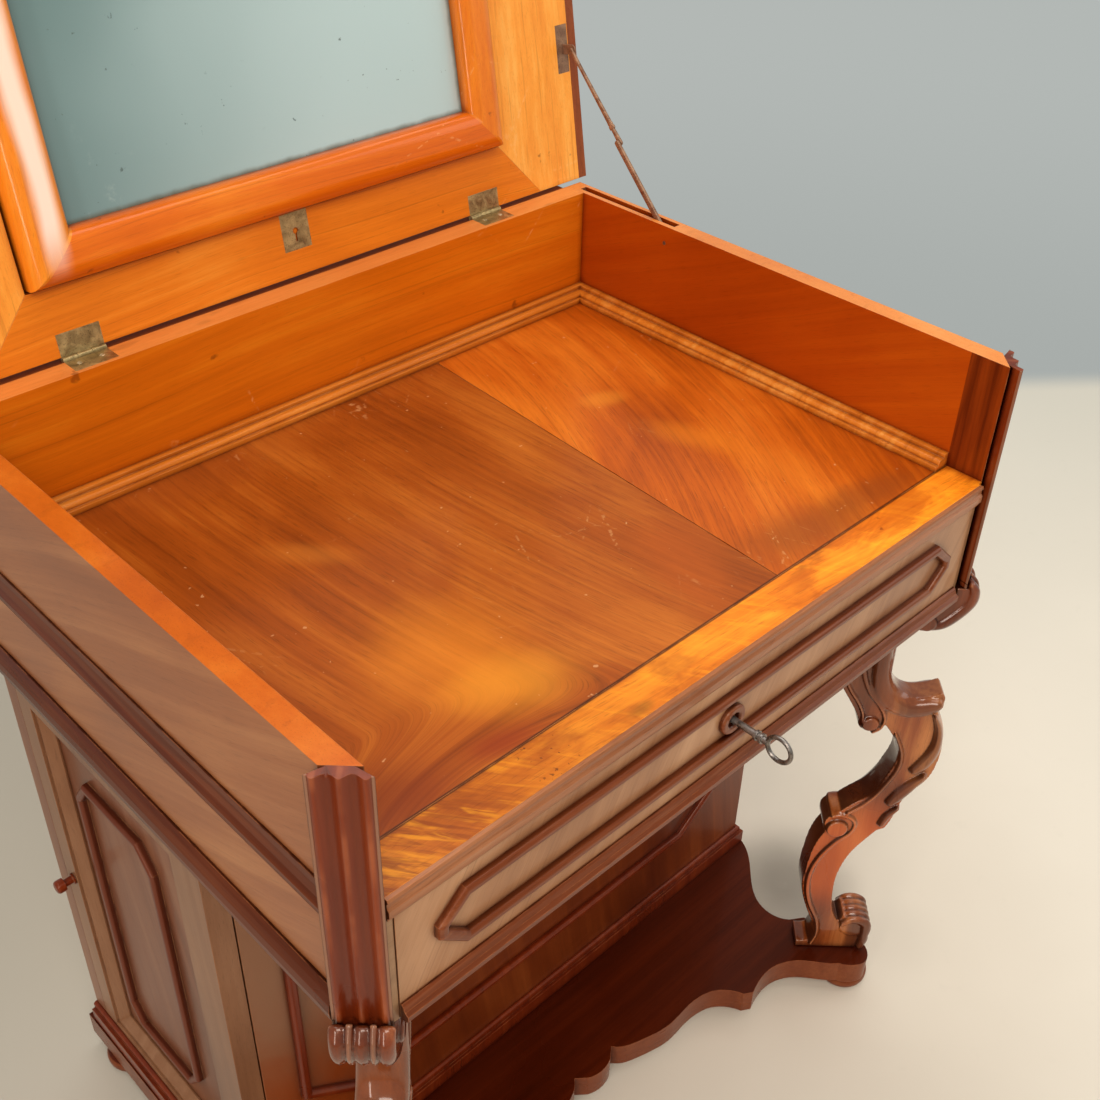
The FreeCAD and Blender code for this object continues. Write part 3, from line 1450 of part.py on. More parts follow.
def stay_arm(name, start, long, rivet_start, across):
    """Flat arm along local Y from its pinned end, with half of the middle rivet."""
    body = new_body(name)
    bar = rectangle("0", "-arm_half", long, "arm_half")
    pad(body, "YZ", [bar], start, "arm_thick", "bar")
    pad(body, "YZ", [("circle", "0", "0", "arm_eye")], start, "arm_thick", "eye")
    pad(body, "YZ", [("circle", long, "0", "arm_eye")], start, "arm_thick", "tip")
    pad(body, "YZ", [("circle", long, "0", "rivet_radius")], rivet_start, "rivet_thick", "rivet")
    pocket(body, "YZ", [("circle", "0", "0", "stay_pin + pin_gap")], start, across, "hole")
    return body


def stay_arms():
    lower = stay_arm("stay_lower_arm", "lower_in", "arm_long", "lower_in - rivet_thick", "arm_thick")
    seat(lower, "0", "foot_y", "foot_z")
    turn(lower, V(1, 0, 0), "arm_rise")
    upper = stay_arm("stay_upper_arm", "upper_in", "upper_long", "upper_in + arm_thick", "arm_thick")
    seat(upper, "0", "head_y", "head_z")
    turn(upper, V(1, 0, 0), "atan2(mid_z - head_z; mid_y - head_y) / 1deg")


def stay_foot_pin():
    body = new_body("stay_foot_pin")
    pin = ("circle", "foot_y", "foot_z", "stay_pin")
    pad(body, "YZ", [pin], "inner_half", "stay_in + rivet_thick + fit_gap + arm_thick", "pin")


def build_all():
    case_side("side_left", -1)
    slot_side(case_side("side_right", 1))
    back_board()
    well_board("well_board_left", -1)
    well_board("well_board_right", 1)
    well_moulding()
    front_strip()
    face_frame()
    front_moulding()
    case_bottom()
    drawer_guides()
    for side, sign in (("left", -1), ("right", 1)):
        side_mouldings("side_mouldings_" + side, sign)
        pilaster("pilaster_" + side, sign)
        corner_bracket("corner_bracket_" + side, sign)
        leg("leg_" + side, sign)
        lid_stile("lid_stile_" + side, sign)
    platform()
    feet()
    cabinet_front()
    cabinet_front_moulding()
    door_surround()
    door_pivots()
    cabinet_side()
    cabinet_side_moulding()
    cabinet_back()
    cabinet_shelf()
    base_moulding()
    door_frame()
    door_panel()
    door_knob()
    drawer_front()
    drawer_octagon()
    drawer_plinth()
    drawer_box()
    drawer_floor()
    drawer_lock()
    lock_bolt()
    escutcheon()
    key()
    lid_rails()
    lid_panel()
    lid_moulding()
    lid_apron()
    mirror_frame()
    mirror_pins()
    mirror_glass()
    mirror_back()
    mirror_lock_plate()
    case_hinge_leaves()
    lid_hinge_leaves()
    stay_plate()
    stay_arms()
    stay_foot_pin()


def check_all():
    for made in doc.Objects:
        if "Invalid" in made.State or "Error" in made.State:
            raise RuntimeError("%s failed: %s" % (made.Name, made.State))
    for made in PIECES:
        if made.Shape.isNull() or not made.Shape.isValid():
            raise RuntimeError(made.Label + " has no sound shape")


build_all()
doc.recompute()
check_all()
for made in PIECES:
    made.Shape.exportStep("parts/%s.step" % made.Label)
print(len(PIECES), "pieces")
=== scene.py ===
import math
import random
import bmesh
import bpy
from mathutils import Matrix, Vector


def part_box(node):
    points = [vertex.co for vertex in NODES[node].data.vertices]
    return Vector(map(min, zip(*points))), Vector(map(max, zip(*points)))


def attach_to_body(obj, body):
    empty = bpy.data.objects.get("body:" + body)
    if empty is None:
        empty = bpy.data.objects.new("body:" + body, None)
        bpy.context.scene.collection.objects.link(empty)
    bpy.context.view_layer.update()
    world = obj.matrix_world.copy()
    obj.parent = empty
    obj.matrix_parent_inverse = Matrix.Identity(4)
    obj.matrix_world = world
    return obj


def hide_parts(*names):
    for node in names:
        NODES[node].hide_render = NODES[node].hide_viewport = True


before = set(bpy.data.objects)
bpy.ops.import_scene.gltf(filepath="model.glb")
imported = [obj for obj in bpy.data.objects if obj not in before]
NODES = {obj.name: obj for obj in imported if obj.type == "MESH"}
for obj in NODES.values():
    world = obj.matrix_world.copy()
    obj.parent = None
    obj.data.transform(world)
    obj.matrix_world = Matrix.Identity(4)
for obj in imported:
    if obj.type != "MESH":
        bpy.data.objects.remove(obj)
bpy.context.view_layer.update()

# Looks of the dressing table. Lengths are metres in the row frame: the drawer faces -Y, Z is up.
# Carved work is drawn in millimetres.
MM = 0.001
SIDE_LOW, SIDE_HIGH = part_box("side_left")
CASE_FRONT, CASE_LOW = SIDE_LOW.y, SIDE_LOW.z
CASE_BACK, CASE_TOP = SIDE_HIGH.y, SIDE_HIGH.z
CASE_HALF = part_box("side_right")[1].x
PLATFORM_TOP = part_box("platform")[1].z
WELL_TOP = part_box("well_board_left")[1].z
STRIP_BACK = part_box("front_strip")[1].y
DOOR_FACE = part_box("door_panel")[0].x
GLASS_LOW, GLASS_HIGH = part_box("mirror_glass")
HINGE_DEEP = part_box("case_hinge_leaves")[1].y
LID_LEAN = math.radians(9.5)
DIAGONAL = 0.7071
SIDES = (("left", -1), ("right", 1))


def corner_place(sign, level):
    """Upright plane that cuts a front corner of the case at 45 degrees: along it, across it, up."""
    turned = Matrix.Rotation(math.radians(-45 if sign > 0 else -135), 4, "Z")
    return Matrix.Translation((sign * CASE_HALF, CASE_FRONT, level)) @ turned


def lid_place():
    """Plane of the open lid from its hinges: across, up along the lid, out towards the sitter."""
    lean, rise = math.sin(LID_LEAN), math.cos(LID_LEAN)
    turned = Matrix(((1, 0, 0), (0, lean, -rise), (0, rise, lean))).to_4x4()
    return Matrix.Translation((0, HINGE_DEEP, CASE_TOP)) @ turned


def extent(node, place):
    """Lowest and highest corner of a CAD node, in another frame's millimetres."""
    back = place.inverted()
    spots = [back @ vert.co / MM for vert in NODES[node].data.vertices]
    low = Vector([min(spot[axis] for spot in spots) for axis in range(3)])
    high = Vector([max(spot[axis] for spot in spots) for axis in range(3)])
    return low, high


def above(low, high):
    """Two heights over the platform."""
    return PLATFORM_TOP + low, PLATFORM_TOP + high


def show(thing):
    bpy.context.scene.collection.objects.link(thing)


# Camera, solved from the straight edges of the case in the photograph

CAMERA_LENS = 44.70
CAMERA_PLACE = (-0.66747, -0.75976, CASE_TOP + 0.56484)
CAMERA_RIGHT = Vector((0.71852229, -0.69514699, 0.02227952))
CAMERA_UP = Vector((0.40053909, 0.43977115, 0.80384686))
CAMERA_AHEAD = Vector((0.56858962, 0.56865807, -0.59441891))


def look():
    """Camera where the photograph was taken from, with its roll."""
    data = bpy.data.cameras.new("camera")
    data.sensor_width = 36
    data.lens = CAMERA_LENS
    data.clip_end = 60
    camera = bpy.data.objects.new("camera", data)
    turned = Matrix((CAMERA_RIGHT, CAMERA_UP, -CAMERA_AHEAD)).transposed().to_4x4()
    camera.matrix_world = Matrix.Translation(CAMERA_PLACE) @ turned
    show(camera)
    bpy.context.scene.camera = camera


def panel_light(name, place, aim, size, power, colour=(1, 1, 1)):
    data = bpy.data.lights.new(name, "AREA")
    data.shape = "RECTANGLE"
    data.size, data.size_y = size
    data.energy = power
    data.color = colour
    lamp = bpy.data.objects.new(name, data)
    lamp.location = place
    lamp.rotation_euler = (Vector(aim) - Vector(place)).to_track_quat("-Z", "Y").to_euler()
    show(lamp)


def tone(red, green, blue):
    """Screen colour from 0 to 255 as linear light."""
    def line(value):
        share = value / 255
        return share / 12.92 if share <= 0.04045 else ((share + 0.055) / 1.055) ** 2.4
    return (line(red), line(green), line(blue), 1)


# Material trees

class Tree:
    """Node tree of one material, with short ways to add and join its nodes."""

    def __init__(self, name):
        self.material = bpy.data.materials.new(name)
        self.material.use_nodes = True
        self.nodes = self.material.node_tree.nodes
        self.links = self.material.node_tree.links
        self.nodes.clear()
        self.out = self.nodes.new("ShaderNodeOutputMaterial")
        self.coords = self.nodes.new("ShaderNodeTexCoord")
        self.place = self.coords.outputs["Object"]

    def feed(self, socket, value):
        if isinstance(value, bpy.types.NodeSocket):
            self.links.new(value, socket)
        else:
            socket.default_value = value

    def add(self, kind, inputs=None, **settings):
        made = self.nodes.new("ShaderNode" + kind)
        for key, value in settings.items():
            setattr(made, key, value)
        for key, value in (inputs or {}).items():
            self.feed(made.inputs[key], value)
        return made

    def math(self, operation, a, b=0.0):
        return self.add("Math", {0: a, 1: b}, operation=operation).outputs[0]

    def total(self, *values):
        result = values[0]
        for value in values[1:]:
            result = self.math("ADD", result, value)
        return result

    def times(self, *values):
        result = values[0]
        for value in values[1:]:
            result = self.math("MULTIPLY", result, value)
        return result

    def about(self, value, middle, by):
        """How far a value is from its middle, scaled."""
        return self.times(self.math("SUBTRACT", value, middle), by)

    def off(self, value, middle):
        """How far a value is from its middle, either way."""
        return self.math("ABSOLUTE", self.math("SUBTRACT", value, middle))

    def scaled(self, vector, by):
        return self.add("VectorMath", {0: vector, 1: by}, operation="MULTIPLY").outputs[0]

    def shifted(self, vector, by):
        return self.add("VectorMath", {0: vector, 1: by}, operation="ADD").outputs[0]

    def dot(self, a, b):
        return self.add("VectorMath", {0: a, 1: b}, operation="DOT_PRODUCT").outputs[1]

    def turned(self, vector, degrees, axis="Z"):
        made = self.add("VectorRotate", {"Vector": vector, "Angle": math.radians(degrees)},
                rotation_type=axis.upper() + "_AXIS")
        return made.outputs[0]

    def noise(self, vector, scale, detail=2.0, rough=0.5, bend=0.0):
        made = self.add("TexNoise", {
            "Vector": vector, "Scale": scale, "Detail": detail, "Roughness": rough, "Distortion": bend})
        return made.outputs[0]

    def step(self, value, low, high, start=0.0, end=1.0):
        made = self.add("MapRange", {
            "Value": value, "From Min": low, "From Max": high, "To Min": start, "To Max": end},
            interpolation_type="SMOOTHSTEP")
        return made.outputs[0]

    def fall(self, value, low, high):
        """Soft step from 1 down to 0."""
        return self.step(value, low, high, 1.0, 0.0)

    def ramp(self, value, stops):
        made = self.add("ValToRGB", {0: value})
        line = made.color_ramp.elements
        line[0].position, line[0].color = stops[0]
        line[1].position, line[1].color = stops[-1]
        for position, colour in stops[1:-1]:
            line.new(position).color = colour
        return made.outputs[0]

    def mix(self, share, a, b, blend="MIX"):
        made = self.add("Mix", data_type="RGBA", blend_type=blend, clamp_factor=True)
        self.feed(made.inputs[0], share)
        self.feed(made.inputs[6], a)
        self.feed(made.inputs[7], b)
        return made.outputs[2]

    def tint(self, share, colour, *shade):
        return self.mix(share, colour, tone(*shade))

    def blend(self, share, a, b):
        made = self.add("Mix", data_type="FLOAT", clamp_factor=True)
        self.feed(made.inputs[0], share)
        self.feed(made.inputs[2], a)
        self.feed(made.inputs[3], b)
        return made.outputs[0]

    def parts(self, vector):
        made = self.add("SeparateXYZ", {0: vector})
        return made.outputs[0], made.outputs[1], made.outputs[2]

    def joined(self, x, y, z):
        return self.add("CombineXYZ", {0: x, 1: y, 2: z}).outputs[0]

    def reach(self, centre, radii, turn=0.0):
        """Distance from a place, in shares of the radii, with the patch turned about Z."""
        away = self.shifted(self.place, tuple(-value for value in centre))
        if turn:
            away = self.turned(away, turn)
        away = self.scaled(away, tuple(1 / radius for radius in radii))
        return self.add("VectorMath", {0: away}, operation="LENGTH").outputs[1]

    def blob(self, centre, radii, turn=0.0, ragged=0.5):
        """Soft patch round a place, 1 in its middle, with a ragged edge."""
        waver = self.about(self.noise(self.place, 20, 3), 0.5, ragged)
        return self.fall(self.total(self.reach(centre, radii, turn), waver), 0.1, 1.0)

    def facing(self, axis, sign, low=0.6):
        """1 where the surface faces along one axis of the piece."""
        normal = self.parts(self.coords.outputs["Normal"])["XYZ".index(axis)]
        return self.step(self.times(normal, sign), low - 0.1, low + 0.1)


# Wood

WANDER_SCALE = 3.0
WORN_EDGE = 0.0011
GRAIN_BUMP = 0.10
SHEEN = (255, 206, 170)
STRIP_SEAM = 0.13


def grain(t, spec):
    """Colour and relief of sawn wood: growth rings, fine streaks, dark lines, pores and mottling."""
    place = t.place
    if spec.get("tilt"):
        place = t.turned(place, spec["tilt"], spec["axes"][2])
    xyz = t.parts(place)
    along, across, deep = (xyz["xyz".index(name)] for name in spec["axes"])
    shift = spec.get("shift", 0.0)
    slow = t.joined(t.total(t.times(along, 0.9), shift), across, deep)
    wander = t.about(t.noise(slow, WANDER_SCALE, 1), 0.5, spec.get("wander", 0.03))
    across = t.total(across, wander, t.times(along, along, spec.get("bend", 0.0) / 2))
    if "swirl" in spec:
        centre, radii, share = spec["swirl"]
        round_it = t.times(t.reach(centre, (1, 1, 1)), share)
        across = t.blend(t.step(t.reach(centre, radii), 0.4, 1.1, 0.6, 0.0), across, round_it)
    ring = t.noise(t.joined(t.times(along, 0.25), t.times(across, spec.get("ring", 55.0)), t.times(deep, 20.0)),
            1.0, 2, 0.55)
    streak = t.noise(t.joined(t.times(along, 7.0), t.times(across, 260.0), t.times(deep, 260.0)), 1.0, 3, 0.6)
    pore = t.step(t.noise(t.joined(t.times(along, 60.0), t.times(across, 1400.0), t.times(deep, 1400.0)),
            1.0, 1), 0.28, 0.42)
    mottle = t.noise(t.shifted(t.joined(t.times(along, 0.5), across, deep), (shift, 0, 0)),
            spec.get("mottle_scale", 8), 3, 0.5, 0.6)
    value = t.total(
        0.5, t.about(ring, 0.5, spec.get("figure", 1.3)), t.about(streak, 0.5, spec.get("streak", 0.5)),
        t.about(mottle, 0.5, spec.get("mottle", 0.9)))
    dark, middle, light = spec["tones"]
    colour = t.ramp(value, [(0.05, tone(*dark)), (0.5, tone(*middle)), (0.95, tone(*light))])
    line = t.noise(t.joined(t.times(along, 1.6), t.times(across, 330.0), t.times(deep, 60.0)), 1.0, 1)
    line = t.step(line, 0.62, 0.72, 0.0, spec.get("lines", 0.25))
    colour = t.mix(line, colour, tone(*[part * 0.55 for part in dark]))
    deepened = t.mix(spec.get("pores", 0.3), colour, tone(*[part * 0.5 for part in dark]))
    colour = t.mix(pore, deepened, colour)
    relief = t.total(t.times(streak, 0.6), t.times(pore, 0.5))
    return colour, relief, mottle


def finish_wood(t, colour, relief, mottle, spec):
    """Polish, edge wear, painted shade and grime in the corners, and relief, over a wood colour."""
    # Painted shade: ambient occlusion darkens corners and creases, standing in for shade as well as grime.
    corners = t.add("AmbientOcclusion", {"Distance": spec.get("dirt_wide", 0.010)}, samples=6).outputs["AO"]
    dirty = t.mix(1.0, colour, tone(*spec.get("dirt_tone", (146, 96, 70))), "MULTIPLY")
    colour = t.mix(t.step(corners, 0.35, 0.95, spec.get("dirt", 0.8), 0.0), colour, dirty)
    soft = t.add("Bevel", {"Radius": WORN_EDGE}, samples=6).outputs[0]
    sharp = t.add("NewGeometry").outputs["Normal"]
    agree = t.dot(soft, sharp)
    worn = t.step(agree, 0.90, 0.995, spec.get("wear", 0.3), 0.0)
    ragged = t.step(t.noise(t.place, 60, 3), 0.35, 0.6)
    colour = t.tint(t.times(worn, ragged), colour, *spec.get("wear_tone", (214, 140, 84)))
    bump = t.add("Bump", {"Strength": GRAIN_BUMP, "Distance": 0.0006,
            "Height": relief, "Normal": soft}).outputs[0]
    low, high = spec.get("rough", (0.30, 0.45))
    shader = t.add("BsdfPrincipled", {
        "Base Color": colour, "Roughness": t.step(mottle, 0.3, 0.7, low, high), "Normal": bump,
        "Specular IOR Level": spec.get("shine", 0.3), "Specular Tint": tone(*SHEEN),
        "Coat Weight": spec.get("coat", 0.12), "Coat Roughness": spec.get("coat_rough", 0.14)})
    t.links.new(shader.outputs[0], t.out.inputs[0])
    return t.material


def wood(name, extra=None, base=None, sides=(), **spec):
    """Wood of a base cut with its own changes. Sides are (axis, sign, changes) rows for the faces that
    show another cut, and extra lays marks over the colour."""
    spec = {**(base or {}), **spec}
    t = Tree(name)
    colour, relief, mottle = grain(t, spec)
    for axis, sign, other in sides:
        colour = t.mix(t.facing(axis, sign), colour, grain(t, {**spec, **other})[0])
    if extra:
        colour = extra(t, colour)
    return finish_wood(t, colour, relief, mottle, spec)


def dark_front_post(t, colour):
    """The first stretch of the right side's inner face is a darker upright piece."""
    x, y, z = t.parts(t.place)
    inner = t.times(t.facing("X", -1), t.fall(y, CASE_FRONT + 0.0375, CASE_FRONT + 0.0385))
    upright = t.noise(t.joined(x, t.times(y, 160.0), t.times(z, 8.0)), 1.0, 3)
    shade = t.ramp(upright, [(0.3, tone(84, 24, 2)), (0.7, tone(136, 52, 8))])
    return t.mix(inner, colour, shade)


def fine_scratches(t, colour, turn, scale, share, shade):
    """Thin broken scratches, mostly one way."""
    cells = t.add("TexVoronoi", {"Vector": t.scaled(t.turned(t.place, turn), (1, 0.3, 1)), "Scale": scale},
            feature="DISTANCE_TO_EDGE").outputs["Distance"]
    line = t.fall(cells, 0.004, 0.012)
    where = t.step(t.noise(t.place, 7, 3), 0.56, 0.66)
    broken = t.step(t.noise(t.place, 160, 2), 0.48, 0.60)
    return t.tint(t.times(line, where, broken, share), colour, *shade)


def well_marks(t, colour):
    """Golden crotch figure, dark stains, pale scratches and dust of the well floor."""
    for centre, radii, turn, share, shade in WELL_PATCHES:
        patch = t.blob((*centre, WELL_TOP), (*radii, 0.2), turn)
        colour = t.tint(t.times(patch, share), colour, *shade)
    colour = fine_scratches(t, colour, 38, 14, 0.35, (222, 160, 100))
    colour = fine_scratches(t, colour, -20, 23, 0.25, (216, 150, 90))
    specks = t.step(t.noise(t.place, 150, 1), 0.775, 0.81, 0.0, 0.45)
    return groove(t, t.tint(specks, colour, 226, 170, 116))


def groove(t, colour):
    """Dark line where the boards of the well meet the strip."""
    y = t.parts(t.place)[1]
    line = t.step(t.off(y, STRIP_BACK), 0.0007, 0.0022, 0.85, 0.0)
    return t.tint(line, colour, 48, 16, 4)


def strip_marks(t, colour):
    """Feathered flame at the left, dark knocks and a worn front edge on the golden strip."""
    x, y, z = t.parts(t.place)
    left = t.fall(x, -0.34, -0.12)
    slant = t.turned(t.place, 52)
    fan = t.noise(t.scaled(slant, (26, 190, 1)), 1.0, 3, 0.6, 0.5)
    colour = t.tint(t.times(t.step(fan, 0.42, 0.62), left, 0.75), colour, 128, 52, 8)
    glow = t.noise(t.shifted(t.scaled(slant, (20, 120, 1)), (7, 0, 0)), 1.0, 3, 0.6, 0.6)
    colour = t.tint(t.times(t.step(glow, 0.50, 0.68), t.step(left, 0.1, 0.9, 0.3, 0.75)), colour,
            240, 158, 36)
    knock = t.noise(t.joined(t.times(x, 240.0), t.times(y, 200.0), z), 1.0, 2, 0.5)
    where = t.step(t.noise(t.joined(t.times(x, 14.0), y, z), 1.0, 1), 0.56, 0.66)
    colour = t.tint(t.times(t.step(knock, 0.66, 0.72), where, 0.85), colour, 58, 24, 8)
    smudge = t.blob((-0.10, CASE_FRONT + 0.006, WELL_TOP), (0.018, 0.008, 0.1))
    colour = t.tint(t.times(smudge, 0.6), colour, 132, 88, 24)
    blotch = t.noise(t.joined(t.times(x, 11.0), t.times(y, 26.0), 5.0), 1.0, 4, 0.6, 0.8)
    colour = t.tint(t.step(blotch, 0.44, 0.66, 0.0, 0.65), colour, 146, 66, 12)
    seam = t.times(t.fall(t.off(x, STRIP_SEAM), 0.0, 0.05),
            t.step(y, STRIP_BACK - 0.016, STRIP_BACK), t.step(blotch, 0.38, 0.5))
    colour = t.tint(t.times(seam, 0.7), colour, 70, 28, 10)
    run = t.step(x, -0.32, 0.20, 0.80, 1.5)
    colour = t.mix(1.0, colour, t.joined(run, t.times(run, 0.92), t.times(run, 0.60)), "MULTIPLY")
    return groove(t, colour)


def back_marks_and_lit_ledge(t, colour):
    """The ledge behind the back board lies in shade and is painted paler, as painted light, so that it reads
    brown.
    """
    colour = plain_marks(t, colour)
    # Painted light: the shaded ledge is paled so that it reads brown.
    lit_ledge = t.step(t.parts(t.place)[1], CASE_BACK - 0.0004, CASE_BACK + 0.0006)
    return t.tint(lit_ledge, colour, 206, 108, 44)


def frame_sides(t, colour):
    """Upright members of the mirror frame: grain along them, a painted highlight of window light down the left
    one.
    """
    x, y, z = t.parts(t.place)
    out = t.math("SUBTRACT", t.math("ABSOLUTE", x), GLASS_HIGH.x)
    upright = t.step(t.math("SUBTRACT", out, t.math("SUBTRACT", GLASS_LOW.z, z)), -0.0003, 0.0003)
    bright = {**HONEY, "tones": ((206, 88, 4), (232, 128, 22), (250, 166, 60))}
    colour = t.mix(upright, colour, grain(t, {**bright, "axes": "zxy"})[0])
    # Painted highlight: a pale band of window light down the left member.
    waver = t.about(t.noise(t.scaled(t.place, (30, 30, 9)), 1.0, 2), 0.5, 0.010)
    off = t.math("ABSOLUTE", t.total(x, 0.2325, waver))
    band = t.times(t.fall(off, 0.003, 0.013), t.step(z, GLASS_LOW.z - 0.034, GLASS_LOW.z + 0.02))
    return plain_marks(t, t.tint(t.times(band, 0.85), colour, 255, 232, 214))


def door_marks(t, colour):
    """The raised octagon of the door is darker and redder than the panel."""
    x, y, z = t.parts(t.place)
    proud = t.fall(t.math("SUBTRACT", x, DOOR_FACE), 0.0060, 0.0074)
    return t.tint(t.times(proud, 0.85), colour, 96, 34, 14)


def cupboard_light(t, colour):
    """The cupboard's front gets a pale painted sheen towards its left edge, orange low down there, and is dark
    elsewhere as painted shade under the drawer.
    """
    x, y, z = t.parts(t.place)
    figure = t.noise(t.joined(t.times(x, 14.0), y, t.times(z, 9.0)), 1.0, 4, 0.6, 1.0)
    left = t.fall(t.total(x, t.about(figure, 0.5, 0.16)), -0.30, -0.14)
    high = t.step(t.total(z, t.about(figure, 0.5, 0.24)), *above(0.10, 0.34))
    # Painted sheen: pale high up near the left edge, orange lower down.
    pale = t.mix(high, tone(142, 60, 18), tone(146, 102, 72))
    return t.mix(t.times(left, 0.72), colour, pale)


def plain_marks(t, colour):
    """Small dark knots, pin holes and nicks of the honey-coloured inside."""
    knots = t.step(t.noise(t.place, 46, 3), 0.70, 0.76, 0.0, 0.55)
    colour = t.tint(knots, colour, 96, 36, 6)
    return fine_scratches(t, colour, 52, 11, 0.25, (250, 190, 120))


# Places are on the well floor: across and deep from the middle of the case.
WELL_PATCHES = [
    ((-0.166, -0.150), (0.10, 0.10), 20, 0.45, (230, 132, 32)),
    ((-0.147, -0.206), (0.085, 0.045), 20, 0.50, (234, 146, 38)),
    ((-0.167, 0.024), (0.022, 0.060), -40, 0.30, (214, 126, 44)),
    ((0.199, 0.040), (0.035, 0.020), 20, 0.40, (230, 142, 40)),
    ((0.215, -0.069), (0.030, 0.080), -24, 0.35, (228, 128, 28)),
    ((0.247, -0.157), (0.030, 0.040), 0, 0.20, (220, 120, 28)),
    ((-0.290, -0.236), (0.080, 0.050), 20, 0.65, (116, 40, 10)),
    ((-0.198, -0.248), (0.045, 0.018), 15, 0.65, (132, 40, 10)),
    ((0.270, -0.240), (0.080, 0.030), 10, 0.60, (128, 60, 20)),
    ((0.170, -0.235), (0.120, 0.050), 10, 0.70, (136, 64, 14)),
    ((-0.164, 0.194), (0.160, 0.060), 0, 0.35, (158, 78, 26)),
    ((0.060, -0.190), (0.050, 0.110), 24, 0.35, (196, 92, 22)),
]

HONEY = dict(tones=((188, 74, 4), (222, 104, 10), (246, 146, 34)), figure=0.7, streak=0.45, mottle=0.6,
        lines=0.22, pores=0.15, rough=(0.34, 0.48))
OUTER = dict(tones=((106, 52, 22), (138, 78, 40), (170, 108, 62)), figure=0.6, streak=0.3, mottle=1.0,
        lines=0.1, pores=0.2, rough=(0.28, 0.38), coat=0.2, mottle_scale=6)
DARK = dict(tones=((72, 18, 4), (108, 34, 8), (146, 60, 22)), figure=0.6, streak=0.4, mottle=0.5,
        lines=0.15, pores=0.3, rough=(0.24, 0.36), coat=0.2, coat_rough=0.1, wear_tone=(196, 116, 68))
PALE = dict(tones=((150, 108, 68), (186, 144, 98), (206, 168, 124)), figure=0.5, streak=0.5, mottle=0.5,
        pores=0.3, rough=(0.5, 0.7), coat=0.0, shine=0.2)
WELL = dict(tones=((108, 42, 6), (156, 72, 14), (192, 104, 30)), figure=0.65, streak=0.55, mottle=1.4,
        lines=0.2, pores=0.35, rough=(0.30, 0.44), ring=40.0, wander=0.04)


TARNISH_SCALE = 90
SPOT_TONE = (70, 50, 38)


def metal(name, tones, rough=(0.3, 0.5), spots=0.4, metallic=0.9):
    """Old metal: cloudy tarnish, small dark spots and a fine bumpy relief."""
    t = Tree(name)
    cloud = t.noise(t.place, TARNISH_SCALE, 4, 0.6, 0.5)
    dark, light = tones
    colour = t.ramp(cloud, [(0.3, tone(*dark)), (0.7, tone(*light))])
    speck = t.step(t.noise(t.place, TARNISH_SCALE * 7, 3), 0.56, 0.66)
    colour = t.tint(t.times(speck, spots), colour, *SPOT_TONE)
    corners = t.add("AmbientOcclusion", {"Distance": 0.003}, samples=6).outputs["AO"]
    colour = t.tint(t.step(corners, 0.3, 0.8, 0.5, 0.0), colour, *SPOT_TONE)
    soft = t.add("Bevel", {"Radius": 0.0005}, samples=6).outputs[0]
    relief = t.noise(t.place, TARNISH_SCALE * 4, 4)
    bump = t.add("Bump", {"Strength": 0.25, "Distance": 0.0003, "Height": relief,
            "Normal": soft}).outputs[0]
    shader = t.add("BsdfPrincipled", {
        "Base Color": colour, "Metallic": metallic, "Normal": bump,
        "Roughness": t.step(cloud, 0.3, 0.7, rough[0], rough[1])})
    t.links.new(shader.outputs[0], t.out.inputs[0])
    return t.material


def mirror_material():
    """Old silvered glass: grey-green, a painted reflection that is darker to the left, with foxing specks and a
    dim rim.
    """
    t = Tree("old_mirror")
    x, y, z = t.parts(t.place)
    haze = t.noise(t.place, 5, 2, 0.5, 0.3)
    # Painted reflection: the glass colour runs from dark at the left to pale at the right.
    run = t.step(t.total(x, t.about(haze, 0.5, 0.10)), GLASS_LOW.x - 0.02, GLASS_HIGH.x - 0.10)
    colour = t.ramp(run, [(0.0, tone(108, 134, 132)), (0.45, tone(156, 178, 176)), (1.0, tone(184, 204, 202))])
    bloom = t.step(t.noise(t.place, 26, 5, 0.7), 0.56, 0.72, 0.0, 1.0)
    low_left = t.times(t.fall(x, GLASS_LOW.x, GLASS_LOW.x + 0.14),
            t.fall(z, GLASS_LOW.z, GLASS_LOW.z + 0.10))
    colour = t.tint(t.times(bloom, low_left, 0.7), colour, 190, 202, 198)
    speck = t.step(t.noise(t.place, 120, 3, 0.6), 0.70, 0.75, 0.0, 0.8)
    colour = t.tint(speck, colour, 74, 88, 84)
    far = t.math("MINIMUM", t.math("SUBTRACT", GLASS_HIGH.x, x), t.math("SUBTRACT", x, GLASS_LOW.x))
    far = t.math("MINIMUM", far, t.math("SUBTRACT", z, GLASS_LOW.z))
    far = t.total(far, t.about(t.noise(t.place, 60, 4), 0.5, 0.004))
    colour = t.tint(t.step(far, 0.0055, 0.0115, 0.8, 0.0), colour, 92, 88, 66)
    shader = t.add("BsdfPrincipled", {
        "Base Color": colour, "Metallic": 0.15, "Roughness": 0.3, "Specular IOR Level": 0.3,
        "Coat Weight": 0.25, "Coat Roughness": 0.03})
    t.links.new(shader.outputs[0], t.out.inputs[0])
    return t.material


def give(material, *names):
    for name in names:
        for slot in NODES[name].material_slots:
            slot.material = material


